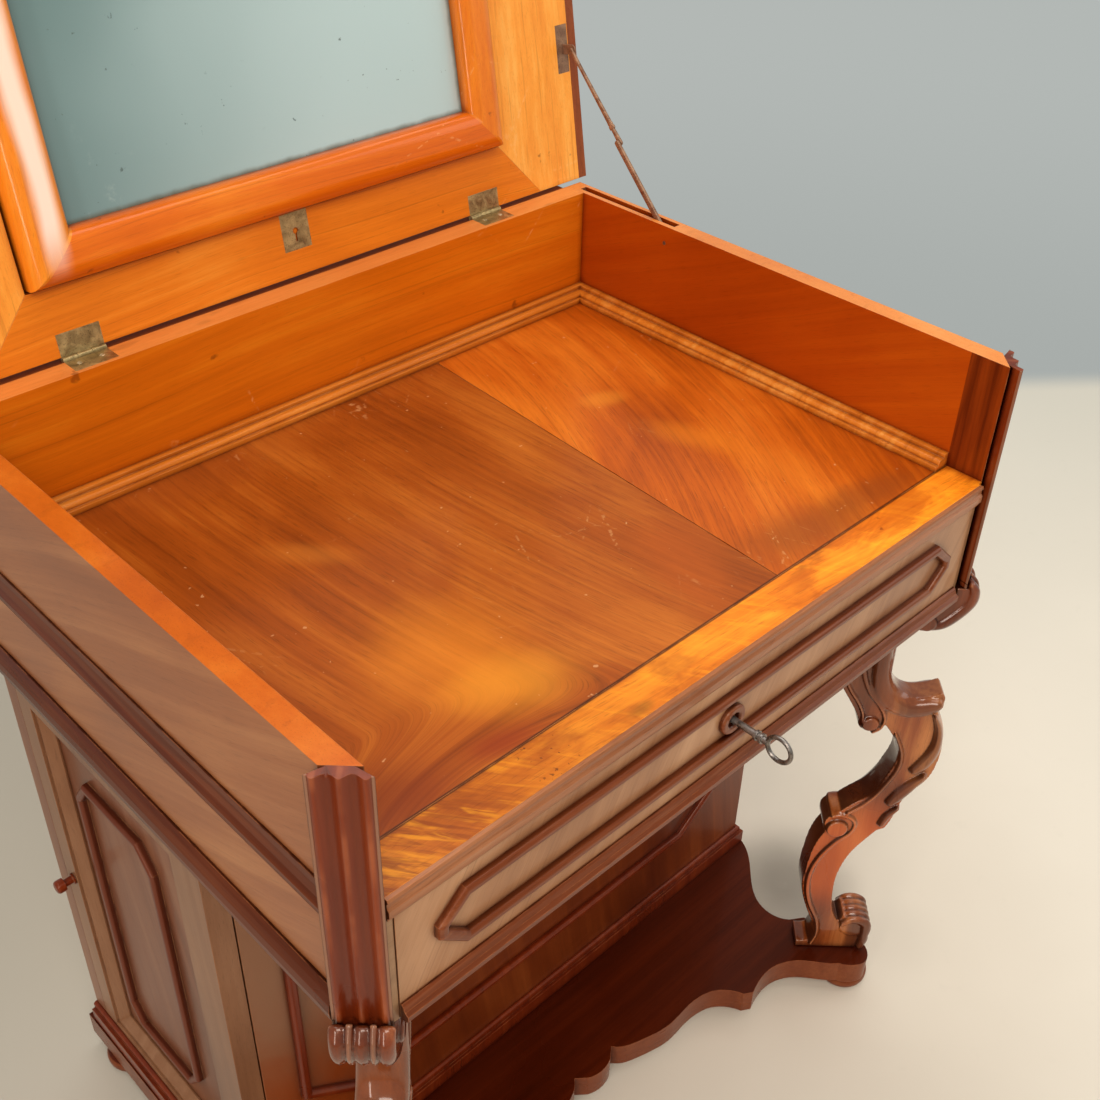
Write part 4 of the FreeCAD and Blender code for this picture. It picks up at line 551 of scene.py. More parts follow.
def dress_nodes():
    """Every CAD node that stays in view gets its own cut of wood or its metal."""
    inner = dict(tones=((138, 44, 2), (168, 64, 4), (194, 86, 8)), figure=0.4)
    edge = dict(tones=((196, 100, 36), (222, 132, 60), (238, 160, 88)), figure=0.4)
    dull = dict(tones=((158, 62, 6), (190, 88, 16), (214, 118, 36)), figure=0.6)
    for side, sign in SIDES:
        give(wood("side_wood_" + side, dark_front_post if sign > 0 else None,
                  sides=[("X", -sign, inner), ("Z", 1, edge if sign > 0 else dull)], axes="yzx", tilt=24,
                  base=OUTER, tones=((118, 60, 30), (153, 90, 52), (186, 124, 78))), "side_" + side)
    outside = dict(tones=OUTER["tones"])
    back = {**HONEY, "tones": ((176, 78, 3), (210, 102, 8), (232, 134, 24))}
    give(wood("back_board_wood", back_marks_and_lit_ledge, sides=[("Z", 1, edge), ("Y", 1, outside)], axes="xzy",
              **back), "back_board")
    give(wood("well_left_wood", well_marks, axes="yxz", tilt=-5, bend=-0.55,
              swirl=((-0.27, -0.34, WELL_TOP), (0.20, 0.15, 1.0), 0.6), **WELL), "well_board_left")
    give(wood("well_right_wood", well_marks, axes="yxz", tilt=27, bend=0.93, shift=3.0,
              base=WELL, tones=((140, 54, 6), (192, 88, 12), (224, 122, 30))), "well_board_right")
    give(wood("well_moulding_wood", axes="xyz",
              base=HONEY, tones=((156, 70, 12), (208, 116, 32), (240, 170, 80)), wear=0.5,
              dirt=0.95, dirt_wide=0.005, dirt_tone=(124, 60, 20)),
         "well_moulding")
    give(wood("strip_wood", strip_marks, axes="xyz", tilt=4,
              base=WELL, tones=((164, 80, 14), (200, 110, 26), (232, 150, 46)), figure=0.6,
              mottle_scale=16, wear=0.6, wear_tone=(240, 150, 70)), "front_strip")
    give(wood("face_wood", axes="xzy", base=OUTER, tones=((128, 84, 54), (160, 118, 84), (188, 146, 108))),
         "face_frame")
    give(wood("front_moulding_wood", axes="xzy",
              base=DARK, tones=((106, 50, 26), (158, 98, 62), (198, 142, 102)), wear=0.6,
              dirt=0.95, dirt_tone=(110, 52, 26)), "front_moulding")
    give(wood("drawer_front_wood", axes="zxy", tilt=-28,
              base=OUTER, tones=((128, 80, 50), (166, 116, 80), (196, 148, 110)), mottle=1.6, lines=0.2,
              dirt=0.85, dirt_wide=0.007, dirt_tone=(120, 60, 30)), "drawer_front")
    give(wood("bead_wood", axes="xzy", base=DARK, tones=((72, 26, 8), (112, 50, 20), (176, 112, 76)), wear=0.6,
              dirt=0.95, dirt_tone=(84, 34, 14)),
         "drawer_octagon", "drawer_plinth", "escutcheon")
    give(wood("band_wood", axes="yzx", base=DARK, tones=((50, 14, 3), (84, 30, 8), (128, 60, 26)), shine=0.2,
              coat=0.12, wear=0.5, dirt=1.0, dirt_tone=(70, 28, 12)),
         "side_mouldings_left", "side_mouldings_right")
    # Painted shade: the platform's top, in shadow under the case, is near black.
    top = dict(tones=((44, 9, 1), (68, 18, 3), (96, 32, 8)))
    give(wood("platform_wood", sides=[("Z", 1, top)], axes="xyz", base=DARK,
              tones=((84, 34, 16), (116, 56, 30), (146, 82, 48)), wear=0.6, shine=0.15, coat=0.08,
              wear_tone=(176, 100, 62)), "platform", "feet")
    # The dark tones of the cupboard's front stand for painted shade under the drawer.
    give(wood("cabinet_front_wood", cupboard_light, axes="zxy", tilt=10,
              base=OUTER, tones=((72, 22, 6), (106, 42, 12), (142, 68, 26)), mottle=1.3), "cabinet_front")
    give(wood("cabinet_side_wood", axes="zyx", tilt=8,
              base=OUTER, tones=((92, 38, 16), (120, 62, 32), (146, 88, 52)), coat=0.15,
              dirt=0.95, dirt_wide=0.018, dirt_tone=(110, 48, 16)),
         "cabinet_side_right")
    give(wood("door_frame_wood", axes="zyx", tilt=3,
              base=OUTER, tones=((98, 56, 34), (130, 86, 58), (156, 112, 82)), coat=0.15, dirt=0.6,
              dirt_wide=0.006, dirt_tone=(120, 66, 34)), "door_frame")
    door = {**OUTER, "tones": ((84, 44, 24), (120, 68, 44), (150, 100, 72)), "coat": 0.15, "dirt": 0.95,
            "dirt_wide": 0.016, "dirt_tone": (100, 44, 18)}
    give(wood("door_panel_wood", door_marks, axes="zyx", tilt=8, **door), "door_panel")
    front = dict(tones=((136, 88, 52), (160, 112, 74), (180, 132, 92)))
    give(wood("surround_wood", sides=[("Y", -1, front)], axes="zyx", **door), "door_surround")
    give(wood("cabinet_bead_wood", axes="zxy", **DARK), "cabinet_front_moulding", "cabinet_side_moulding",
         "base_moulding")
    give(wood("secondary_wood", axes="xyz", **PALE), "case_bottom", "drawer_guides", "cabinet_back",
         "cabinet_shelf")
    give(wood("drawer_box_wood", axes="yxz", **PALE), "drawer_box", "drawer_floor")
    give(wood("lid_rail_wood", plain_marks, sides=[("Y", 1, outside)], axes="xzy", base=HONEY,
              tones=((186, 84, 8), (222, 118, 22), (246, 158, 54))), "lid_rail_rear", "lid_rail_front")
    outer_edge = dict(tones=((110, 44, 10), (150, 74, 28), (180, 104, 54)))
    bright = {**HONEY, "tones": ((220, 116, 26), (244, 156, 58), (255, 194, 100))}
    give(wood("lid_stile_wood", plain_marks, sides=[("X", 1, outer_edge), ("Y", 1, outside)], axes="zxy",
              **bright), "lid_stile_left", "lid_stile_right")
    give(wood("lid_panel_wood", axes="xzy", **OUTER), "lid_panel")
    give(wood("lid_apron_wood", axes="xzy", **OUTER), "lid_apron")
    give(wood("lid_moulding_wood", axes="zxy", base=DARK, tones=((92, 34, 10), (136, 64, 28), (170, 98, 56))),
         "lid_moulding")
    give(wood("mirror_frame_wood", frame_sides, axes="xzy",
              base=HONEY, coat=0.4, coat_rough=0.10, rough=(0.28, 0.40), shine=0.4), "mirror_frame")
    give(wood("mirror_back_wood", axes="zxy", **PALE), "mirror_back")
    give(mirror_material(), "mirror_glass")
    give(metal("aged_brass", ((128, 104, 66), (206, 178, 122)), (0.28, 0.5), 0.4, 0.8), "case_hinge_leaves",
         "lid_hinge_leaves", "mirror_lock_plate")
    give(metal("rusty_iron", ((104, 66, 46), (160, 124, 96)), (0.45, 0.7), 0.5, 0.5), "stay_plate")
    give(metal("pin_steel", ((90, 84, 78), (150, 146, 140)), (0.3, 0.5), 0.3), "stay_foot_pin", "door_pivots",
         "mirror_pins", "drawer_lock", "lock_bolt")
    give(metal("key_steel", ((84, 76, 70), (168, 158, 150)), (0.2, 0.4), 0.4), "key")
    give(wood("knob_wood", axes="xyz", **DARK), "door_knob")


# Carved and turned pieces

def smooth_run(rows, parts=6):
    """Rows of numbers on a smooth curve through the given ones."""
    run = []
    for k in range(len(rows) - 1):
        four = [rows[max(k - 1, 0)], rows[k], rows[k + 1], rows[min(k + 2, len(rows) - 1)]]
        for part in range(parts):
            t = part / parts
            weights = (
                (-t + 2 * t * t - t ** 3) / 2,
                (2 - 5 * t * t + 3 * t ** 3) / 2,
                (t + 4 * t * t - 3 * t ** 3) / 2,
                (-t * t + t ** 3) / 2,
            )
            run.append([sum(w * row[i] for w, row in zip(weights, four)) for i in range(len(rows[k]))])
    run.append(list(rows[-1]))
    return run


class Clay:
    """Closed forms in a plane's millimetres (along, across, up), joined or melted into one skin."""

    def __init__(self):
        self.made = bmesh.new()

    def copy(self, node, place, squeeze):
        """The CAD solid, thinned across so that carved work stands proud of it."""
        part = bmesh.new()
        part.from_mesh(NODES[node].data)
        back = place.inverted()
        for vert in part.verts:
            spot = back @ vert.co / MM
            vert.co = (spot.x, spot.y * squeeze, spot.z)
        bmesh.ops.remove_doubles(part, verts=part.verts, dist=0.01)
        spare = bpy.data.meshes.new("spare")
        part.to_mesh(spare)
        part.free()
        self.made.from_mesh(spare)
        bpy.data.meshes.remove(spare)

    def skin(self, rings):
        """Faces between rings of points, closed at both ends."""
        verts = [[self.made.verts.new(spot) for spot in ring] for ring in rings]
        count = len(verts[0])
        for one, two in zip(verts, verts[1:]):
            for k in range(count):
                self.made.faces.new((one[k], one[(k + 1) % count], two[(k + 1) % count], two[k]))
        self.made.faces.new(list(reversed(verts[0])))
        self.made.faces.new(verts[-1])

    def bar(self, rows, thick, level=0.0, boxy=2.4, sides=20, blunt=0.8):
        """Rounded bar through (along, up, half width) rows, with its half thickness across."""
        run = smooth_run(rows)
        heads = []
        for k, (along, up, wide) in enumerate(run):
            before, after = run[max(k - 1, 0)], run[min(k + 1, len(run) - 1)]
            way = Vector((after[0] - before[0], after[1] - before[1])).normalized()
            heads.append((Vector((along, up)), way, wide, 1.0))
        caps = [(math.sin(turn), math.cos(turn)) for turn in map(math.radians, (30, 58, 80))]
        (first, way_in, wide_in, full), (last, way_out, wide_out, full) = heads[0], heads[-1]
        start = [(first - way_in * wide_in * blunt * out, way_in, wide_in, keep)
                 for out, keep in reversed(caps)]
        end = [(last + way_out * wide_out * blunt * out, way_out, wide_out, keep) for out, keep in caps]
        rings = []
        for spot, way, wide, keep in start + heads + end:
            side = Vector((-way.y, way.x))
            ring = []
            for k in range(sides):
                turn = math.tau * k / sides
                over = math.copysign(abs(math.cos(turn)) ** (2 / boxy), math.cos(turn)) * wide * keep
                out = math.copysign(abs(math.sin(turn)) ** (2 / boxy), math.sin(turn)) * thick * keep ** 0.6
                ring.append((spot.x + side.x * over, level + out, spot.y + side.y * over))
            rings.append(ring)
        self.skin(rings)

    def disc(self, centre, radius, thick):
        """Round boss across the plane, its rim eased."""
        ease, sides = 1.5, 32
        rings = []
        for out, deep in ((ease, -thick), (0, ease - thick), (0, thick - ease), (ease, thick)):
            rings.append([
                (centre[0] + (radius - out) * math.cos(math.tau * k / sides), deep,
                 centre[1] + (radius - out) * math.sin(math.tau * k / sides)) for k in range(sides)])
        self.skin(rings)

    def mesh(self, name, place):
        for vert in self.made.verts:
            vert.co = place @ (vert.co * MM)
        bmesh.ops.recalc_face_normals(self.made, faces=self.made.faces)
        mesh = bpy.data.meshes.new(name)
        self.made.to_mesh(mesh)
        self.made.free()
        return mesh

    def melt(self, name, place, cell, ease, keep):
        """One skin over all the forms, smoothed and thinned out."""
        rough = bpy.data.objects.new(name + "_clay", self.mesh(name + "_clay", place))
        show(rough)
        skin = rough.modifiers.new("skin", "REMESH")
        skin.mode = "VOXEL"
        skin.voxel_size = cell * MM
        soft = rough.modifiers.new("soft", "SMOOTH")
        soft.factor = 0.5
        soft.iterations = ease
        thin = rough.modifiers.new("thin", "DECIMATE")
        thin.ratio = keep
        shown = rough.evaluated_get(bpy.context.evaluated_depsgraph_get())
        mesh = bpy.data.meshes.new_from_object(shown)
        mesh.name = name
        bpy.data.objects.remove(rough)
        return mesh


def attach(name, mesh, material, body, slot, *nodes):
    """Puts a finished mesh on its CAD body, in place of the CAD nodes named."""
    for polygon in mesh.polygons:
        polygon.use_smooth = True
    mesh.materials.clear()
    mesh.materials.append(material)
    made = bpy.data.objects.new(name, mesh)
    show(made)
    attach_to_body(made, body)
    if nodes:
        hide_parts(*nodes)
    return made


# Leg, drawn in its own plane: along from the case corner, up from the platform, half width
TONGUE = [(-68.5, 541, 11.5), (-68.7, 490, 12), (-68, 455, 12.3), (-66, 434, 12.8), (-60, 414, 14),
        (-49, 400, 14.3), (-33, 391.5, 13.8), (-18, 391.5, 13), (-6, 395.5, 11.5), (-1, 398, 9)]
STRAP_RIM = [(-106, 538, 3.5), (-105, 470, 3.5), (-102, 436, 3.5), (-94, 416, 3.5), (-84, 400, 3.5),
        (-77, 384, 3), (-76, 372, 3)]
STRAP_CURL = [(-88, 470, 5), (-84, 440, 5), (-74, 414, 4.5), (-60, 394, 4), (-53, 378, 3.6),
        (-55, 364, 3.2), (-63, 357, 2.8)]
LEAF_ONE = [(-2, 384, 3), (5, 367, 6), (7.5, 347, 8), (5, 329, 10.5), (-2, 313, 11.5), (-10, 304, 8)]
LEAF_TWO = [(3, 297, 4.5), (-7, 283, 9.5), (-18, 267, 11.5), (-27, 254, 8.5)]
LEAF_THREE = [(-17, 246, 4), (-26, 233, 7), (-31, 219, 6.5)]
ARCH_RIM = [(-38, 356, 2.5), (-28, 332, 3.5), (-26, 312, 4), (-31, 292, 4), (-44, 264, 4),
        (-57, 247, 4), (-70, 235, 4)]
FLANK_RIM = [(-86, 229, 3.6), (-76, 231, 4), (-65, 227, 4), (-59.5, 217, 4), (-63.5, 203, 4.2), (-77, 187, 4.6),
        (-90, 164, 5), (-97.5, 137, 5.2), (-97.5, 108, 5.2), (-91, 81, 5), (-80, 54, 4.6), (-76, 29, 4),
        (-81, 8, 3.5)]
TOE = [(-48, 47, 4), (-40, 53, 5), (-30, 53.5, 5.5), (-21, 48, 6), (-18.5, 38, 6), (-19, 28, 5.2),
       (-19.5, 18, 5.8), (-22, 7, 4.5)]
UPPER_EYE = (-67, 370)
LOWER_EYE = (-79, 212)
BRACKET_LOBE = [(0, 15, 4), (4, 6, 6.5), (3, -7, 7.5), (-7, -22, 8), (-19, -34, 7.4), (-32, -38.5, 4.5)]
BRACKET_RIDGE = [(1, 20, 2), (7.5, 9, 3.4), (8.5, -5, 3.6), (-1, -21, 3.4), (-13, -34, 2.4), (-21, -44, 0.8)]
BRACKET_EYE = (-34, -32)
RIDGE_PLACE = 8.1
# Share of the solid's thickness that is left under the carving
LEG_SLIM = 0.72
BRACKET_SLIM = 0.86
# The paw's roll is drawn in under the toes: its back, top, middle and level, and the shares left
PAW_BACK, PAW_TOP, PAW_MIDDLE, PAW_LEVEL = -46, 62, -34, 34
PAW_WIDE, PAW_HIGH = 0.72, 0.80
TOE_PITCH = 8.6


def leg_mesh(name, sign):
    place = corner_place(sign, PLATFORM_TOP)
    clay = Clay()
    clay.copy("leg_" + name, place, LEG_SLIM)
    for vert in clay.made.verts:
        if vert.co.x > PAW_BACK and vert.co.z < PAW_TOP:
            vert.co.x = PAW_MIDDLE + (vert.co.x - PAW_MIDDLE) * PAW_WIDE
            if vert.co.z > PAW_LEVEL:
                vert.co.z = PAW_LEVEL + (vert.co.z - PAW_LEVEL) * PAW_HIGH
    clay.bar(TONGUE, 21, boxy=2.5)
    clay.bar(STRAP_RIM, 18.5)
    clay.bar(STRAP_CURL, 18.5)
    clay.disc(UPPER_EYE, 9, 20)
    for rows, thick in ((LEAF_ONE, 22.5), (LEAF_TWO, 22.5), (LEAF_THREE, 21.5)):
        clay.bar(rows, thick, boxy=2.1)
    clay.bar(ARCH_RIM, 19.5)
    clay.bar(FLANK_RIM, 19.5)
    clay.disc(LOWER_EYE, 12, 22)
    for toe in (-2, -1, 0, 1, 2):
        clay.bar(TOE, 4.2, toe * TOE_PITCH, boxy=2.0)
    return clay.melt(name + "_leg", place, 1.25, 3, 0.45)


def bracket_mesh(name, sign):
    place = corner_place(sign, CASE_LOW)
    clay = Clay()
    clay.copy("corner_bracket_" + name, place, BRACKET_SLIM)
    for lobe in (-2, 0, 2):
        clay.bar(BRACKET_LOBE, 6.6, lobe * RIDGE_PLACE, boxy=1.8)
    for ridge in (-1, 1):
        clay.bar(BRACKET_RIDGE, 2.6, ridge * RIDGE_PLACE, boxy=1.7)
    clay.disc(BRACKET_EYE, 9, 23.6)
    return clay.melt(name + "_bracket", place, 0.9, 2, 0.6)


REED_PITCH = 15.5
REED_DEPTH = 4.6
FILLET_WIDE = 2.4
FLUTE_END = 5


def pilaster_mesh(name, sign):
    """Post with three reeds and smooth flutes between them, that run out above the bracket."""
    place = corner_place(sign, CASE_LOW)
    low, high = extent("pilaster_" + name, place)
    half, seat = high.y, low.x
    steps = 72
    levels = [low.z, low.z + 2, low.z + 4, low.z + 6, low.z + FLUTE_END, (low.z + high.z) / 2,
            high.z - 6, high.z - 3, high.z]
    rings = []
    for level in levels:
        fade = min((level - low.z) / FLUTE_END, 1.0)
        depth = REED_DEPTH * (fade * fade * (3 - 2 * fade))
        ring = [(seat, half * 0.4, level), (seat, -half * 0.4, level)]
        for k in range(steps + 1):
            across = -half + 2 * half * k / steps
            trough = ((1 - math.cos(math.tau * across / REED_PITCH)) / 2) ** 0.75
            out = high.x - depth * trough
            if abs(across) > half - FILLET_WIDE:
                out = high.x - REED_DEPTH * 0.55
            up = level
            if level > high.z - 1 and name == "left":
                chip = max(0.0, 1 - abs(across + REED_PITCH * 0.5) / 4)
                up -= 2.4 * chip
                out -= 1.6 * chip
            ring.append((out, across, up))
        rings.append(ring)
    clay = Clay()
    clay.skin(rings)
    return clay.mesh(name + "_pilaster", place)


def across_plane(t, sign, vector):
    """Part of a vector that lies across a corner's plane, and the part that points along it outward."""
    return t.dot(vector, (DIAGONAL, DIAGONAL * sign, 0)), t.dot(vector, (DIAGONAL * sign, -DIAGONAL, 0))


def from_corner(t, sign):
    """How far a place is across a corner's plane and outward from the corner."""
    return across_plane(t, sign, t.shifted(t.place, (-sign * CASE_HALF, -CASE_FRONT, 0)))


def leg_marks_and_painted_light(t, colour, sign):
    """Carving gets painted highlights and shade, inner faces painted shade nearly black, the broad flank a
    painted glow, and strap, leaves, heel and toes are darker.
    """
    colour = carved_highlight_and_shade(t, colour)
    across, along = across_plane(t, sign, t.coords.outputs["Normal"])
    # Painted shade: faces turned in towards the case are darkened nearly black.
    colour = t.tint(t.times(t.fall(along, -0.75, -0.35), 0.85), colour, 44, 20, 12)
    z = t.parts(t.place)[2]
    # Painted glow of light over the broad flank, on the faces turned one way.
    painted_glow = t.times(t.step(t.times(across, -sign), 0.75, 0.97),
                    t.step(z, *above(0.05, 0.12)),
                    t.fall(z, *above(0.20, 0.28)))
    colour = t.tint(t.times(painted_glow, 0.5), colour, 214, 88, 14)
    side, out = from_corner(t, sign)
    proud = t.math("ABSOLUTE", side)
    leaves = t.times(t.step(proud, 0.0172, 0.0195), t.step(out, -0.046, -0.040),
                     t.step(z, *above(0.205, 0.215)))
    colour = t.tint(t.times(leaves, 0.6), colour, 88, 46, 28)
    strap = t.step(z, *above(0.388, 0.402))
    colour = t.tint(t.times(strap, 0.4), colour, 104, 54, 28)
    heel = t.times(t.fall(out, -0.092, -0.084), t.fall(z, *above(0.032, 0.042)))
    colour = t.tint(t.times(heel, 0.6), colour, 84, 30, 14)
    toes = t.times(t.fall(z, *above(0.052, 0.062)), t.step(out, -0.044, -0.036))
    return t.tint(t.times(toes, 0.7), colour, 74, 38, 24)


def post_shade_and_highlights(t, colour, sign, half):
    """Flutes get painted shade, the reeds' crests a painted highlight, and the plain fillets down both edges a
    pale painted reflection.
    """
    across = from_corner(t, sign)[0]
    wave = t.math("COSINE", t.times(across, math.tau / (REED_PITCH * MM)))
    # Painted shade darkens the flutes.
    colour = t.tint(t.step(wave, -0.9, 0.5, 0.45, 0.0), colour, 82, 30, 14)
    # Painted highlight on the reeds' crests.
    crest_highlight = t.times(t.step(wave, 0.5, 1.0), t.step(t.noise(t.place, 14, 3), 0.4, 0.6, 0.0, 0.4))
    colour = t.tint(crest_highlight, colour, 176, 96, 56)
    # Painted reflection: the plain fillets down both edges are paler.
    edge = t.step(t.math("ABSOLUTE", across), (half - FILLET_WIDE) * MM, (half - FILLET_WIDE + 0.6) * MM)
    return t.tint(t.times(edge, 0.7), colour, 150, 112, 88)


def carved_highlight_and_shade(t, colour):
    """Carving gets a painted highlight with rubbed wear on its tips, and painted shade, nearly black, in its
    creases.
    """
    bend = t.add("NewGeometry").outputs["Pointiness"]
    colour = t.tint(t.step(bend, 0.44, 0.495, 0.85, 0.0), colour, 40, 14, 6)
    return t.tint(t.step(bend, 0.515, 0.58, 0.0, 0.65), colour, 214, 140, 92)


def ridge_highlights(t, colour, sign):
    """Ridges between the bracket's lobes have a greyer, paler tone, a painted highlight."""
    colour = carved_highlight_and_shade(t, colour)
    across = t.math("ABSOLUTE", from_corner(t, sign)[0])
    off = t.off(across, RIDGE_PLACE * MM)
    return t.tint(t.step(off, 0.0010, 0.0026, 0.35, 0.0), colour, 136, 100, 80)


def carve():
    """Legs, brackets and reeded posts take the place of their plain solids."""
    cut = {**DARK, "tones": ((84, 30, 10), (140, 66, 26), (196, 120, 64)), "mottle": 1.8, "figure": 1.0,
           "dirt": 1.0, "dirt_wide": 0.012, "dirt_tone": (74, 28, 12), "coat": 0.8, "coat_rough": 0.08,
           "wear": 0.0}
    reeded = {**DARK, "tones": ((64, 14, 3), (108, 36, 9), (150, 66, 26)), "coat": 0.35, "shine": 0.15,
              "streak": 0.2, "lines": 0.05, "pores": 0.15, "wear": 0.2, "dirt": 1.0, "dirt_wide": 0.006,
              "dirt_tone": (74, 24, 8)}
    for side, sign in SIDES:
        half = extent("pilaster_" + side, corner_place(sign, CASE_LOW))[1].y
        post_wood = wood("pilaster_wood_" + side, lambda t, colour: post_shade_and_highlights(t, colour, sign, half),
                         axes="zxy", **reeded)
        leg_wood = wood("leg_wood_" + side, lambda t, colour: leg_marks_and_painted_light(t, colour, sign), axes="zxy", **cut)
        lobe_wood = wood("bracket_wood_" + side, lambda t, colour: ridge_highlights(t, colour, sign), axes="zxy",
                         base=cut, tones=((64, 22, 8), (116, 50, 22), (170, 98, 56)), coat=0.7,
                         rough=(0.2, 0.3))
        attach("carved_leg_" + side, leg_mesh(side, sign), leg_wood, "case", "walnut_carved", "leg_" + side)
        attach("leaf_bracket_" + side, bracket_mesh(side, sign), lobe_wood, "case", "walnut_carved",
               "corner_bracket_" + side)
        post = attach("reeded_post_" + side, pilaster_mesh(side, sign), post_wood, "case", "walnut_carved",
                      "pilaster_" + side)
        post.data.set_sharp_from_angle(angle=math.radians(40))


# Hardware: hinge width and the radii of screw heads

HINGE_WIDE = 40
HINGE_SCREW = 2.6
PLATE_NAIL = 1.9
STAY_SCREW = 2.8


def screw(clay, along, up, out, radius):
    """Slotted screw head in a plate that lies in a plane: two half domes with a gap for the slot."""
    turn = random.uniform(0, math.pi)
    sides = 10
    gap = radius * 0.16
    for flip in (0, math.pi):
        rings = []
        for share, lift in ((1.0, 0.0), (1.0, 0.25), (0.72, 0.5)):
            ring = []
            for k in range(sides + 1):
                angle = math.pi * k / sides
                reach = radius * share
                across, over = reach * math.cos(angle), max(reach * math.sin(angle), gap)
                spin = turn + flip
                ring.append((along + across * math.cos(spin) - over * math.sin(spin),
                        up + across * math.sin(spin) + over * math.cos(spin), out + lift))
            rings.append(ring)
        clay.skin(rings)


def level_place():
    """Top of the case, seen from above: across, deep, up."""
    return Matrix.Translation((0, 0, CASE_TOP))


def hinge_screws():
    random.seed(4)
    low, high = extent("lid_hinge_leaves", lid_place())
    case_low, case_high = extent("case_hinge_leaves", level_place())
    lid = Clay()
    case = Clay()
    for inner, outer in ((low.x, low.x + HINGE_WIDE), (high.x - HINGE_WIDE, high.x)):
        for share in (0.24, 0.76):
            across = inner + (outer - inner) * share
            screw(lid, across, low.y * 0.42 + high.y * 0.58, high.z - 0.1 if high.z < 1 else 0.3, HINGE_SCREW)
            screw(case, across, case_low.y * 0.55 + case_high.y * 0.45, -0.3, HINGE_SCREW)
    return lid, case


def fit_hardware():
    brass = metal("screw_brass", ((168, 150, 112), (240, 222, 180)), (0.2, 0.35), 0.3, 0.6)
    iron = metal("stay_iron", ((112, 72, 50), (172, 134, 104)), (0.4, 0.6), 0.45, 0.5)
    lid, case = hinge_screws()
    plate_low, plate_high = extent("mirror_lock_plate", lid_place())
    for along in (plate_low.x + 4, plate_high.x - 4):
        for up in (plate_low.y + 4.5, plate_high.y - 4.5):
            screw(lid, along, up, -0.3, PLATE_NAIL)
    stay_low, stay_high = extent("stay_plate", lid_place())
    for up in (stay_low.y + 6, stay_high.y - 6):
        screw(lid, stay_low.x + 8, up, -0.3, STAY_SCREW)
    attach("lid_screws", lid.mesh("lid_screws", lid_place()), brass, "lid", "aged_brass")
    attach("case_screws", case.mesh("case_screws", level_place()), brass, "case", "aged_brass")
    fit_stay(iron)


ARM_EYE = 5


def arm_place(node):
    """Frame along a stay arm from its lower end, and the arm's length, from its slanting box."""
    low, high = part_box(node)
    start = Vector(((low.x + high.x) / 2, low.y + ARM_EYE * MM, low.z + ARM_EYE * MM))
    end = Vector(((low.x + high.x) / 2, high.y - ARM_EYE * MM, high.z - ARM_EYE * MM))
    way = (end - start).normalized()
    up = Vector((0, -way.z, way.y))
    turned = Matrix((way, Vector((-1, 0, 0)), up)).transposed().to_4x4()
    return Matrix.Translation(start) @ turned, (end - start).length / MM, (high.x - low.x) / MM


def fit_stay(iron):
    """Stay arms as worn bars: the upper one tapers to its plate and has a collar near the rivet."""
    place, long, thick = arm_place("stay_lower_arm")
    lower = Clay()
    lower.bar([(0, 0, 3.4), (long * 0.5, 0, 3.3), (long, 0, 3.0)], thick / 2, boxy=3.2)
    attach("stay_bar_lower", lower.mesh("stay_bar_lower", place), iron, "stay_lower", "rusty_iron",
           "stay_lower_arm")
    place, long, thick = arm_place("stay_upper_arm")
    upper = Clay()
    upper.bar([(0, 0, 3.2), (long * 0.16, 0, 2.3), (long * 0.2, 0, 2.9), (long * 0.5, 0, 2.4),
            (long * 0.8, 0, 1.9), (long, 0, 2.6)], thick / 2, boxy=2.4)
    upper.bar([(long * 0.155, 0, 3.9), (long * 0.185, 0, 3.9)], thick / 2, boxy=2.6, blunt=0.2)
    upper.bar([(long * 0.2, 0, 3.3), (long * 0.215, 0, 3.3)], thick / 2, boxy=2.6, blunt=0.2)
    attach("stay_bar_upper", upper.mesh("stay_bar_upper", place), iron, "stay_upper", "rusty_iron",
           "stay_upper_arm")


# Stage

FLOOR_CENTRE = (-1.866, -4.327)
FLOOR_RADIUS = 6.0
FLOOR_BLEND = 0.09
# Soft shade on the floor beside the platform and beyond the right foot: place, radii, strength
FLOOR_SHADES = [((0.395, -0.145), (0.13, 0.12), 0.75), ((0.42, -0.30), (0.09, 0.07), 0.08)]
WALL = (179, 184, 181)


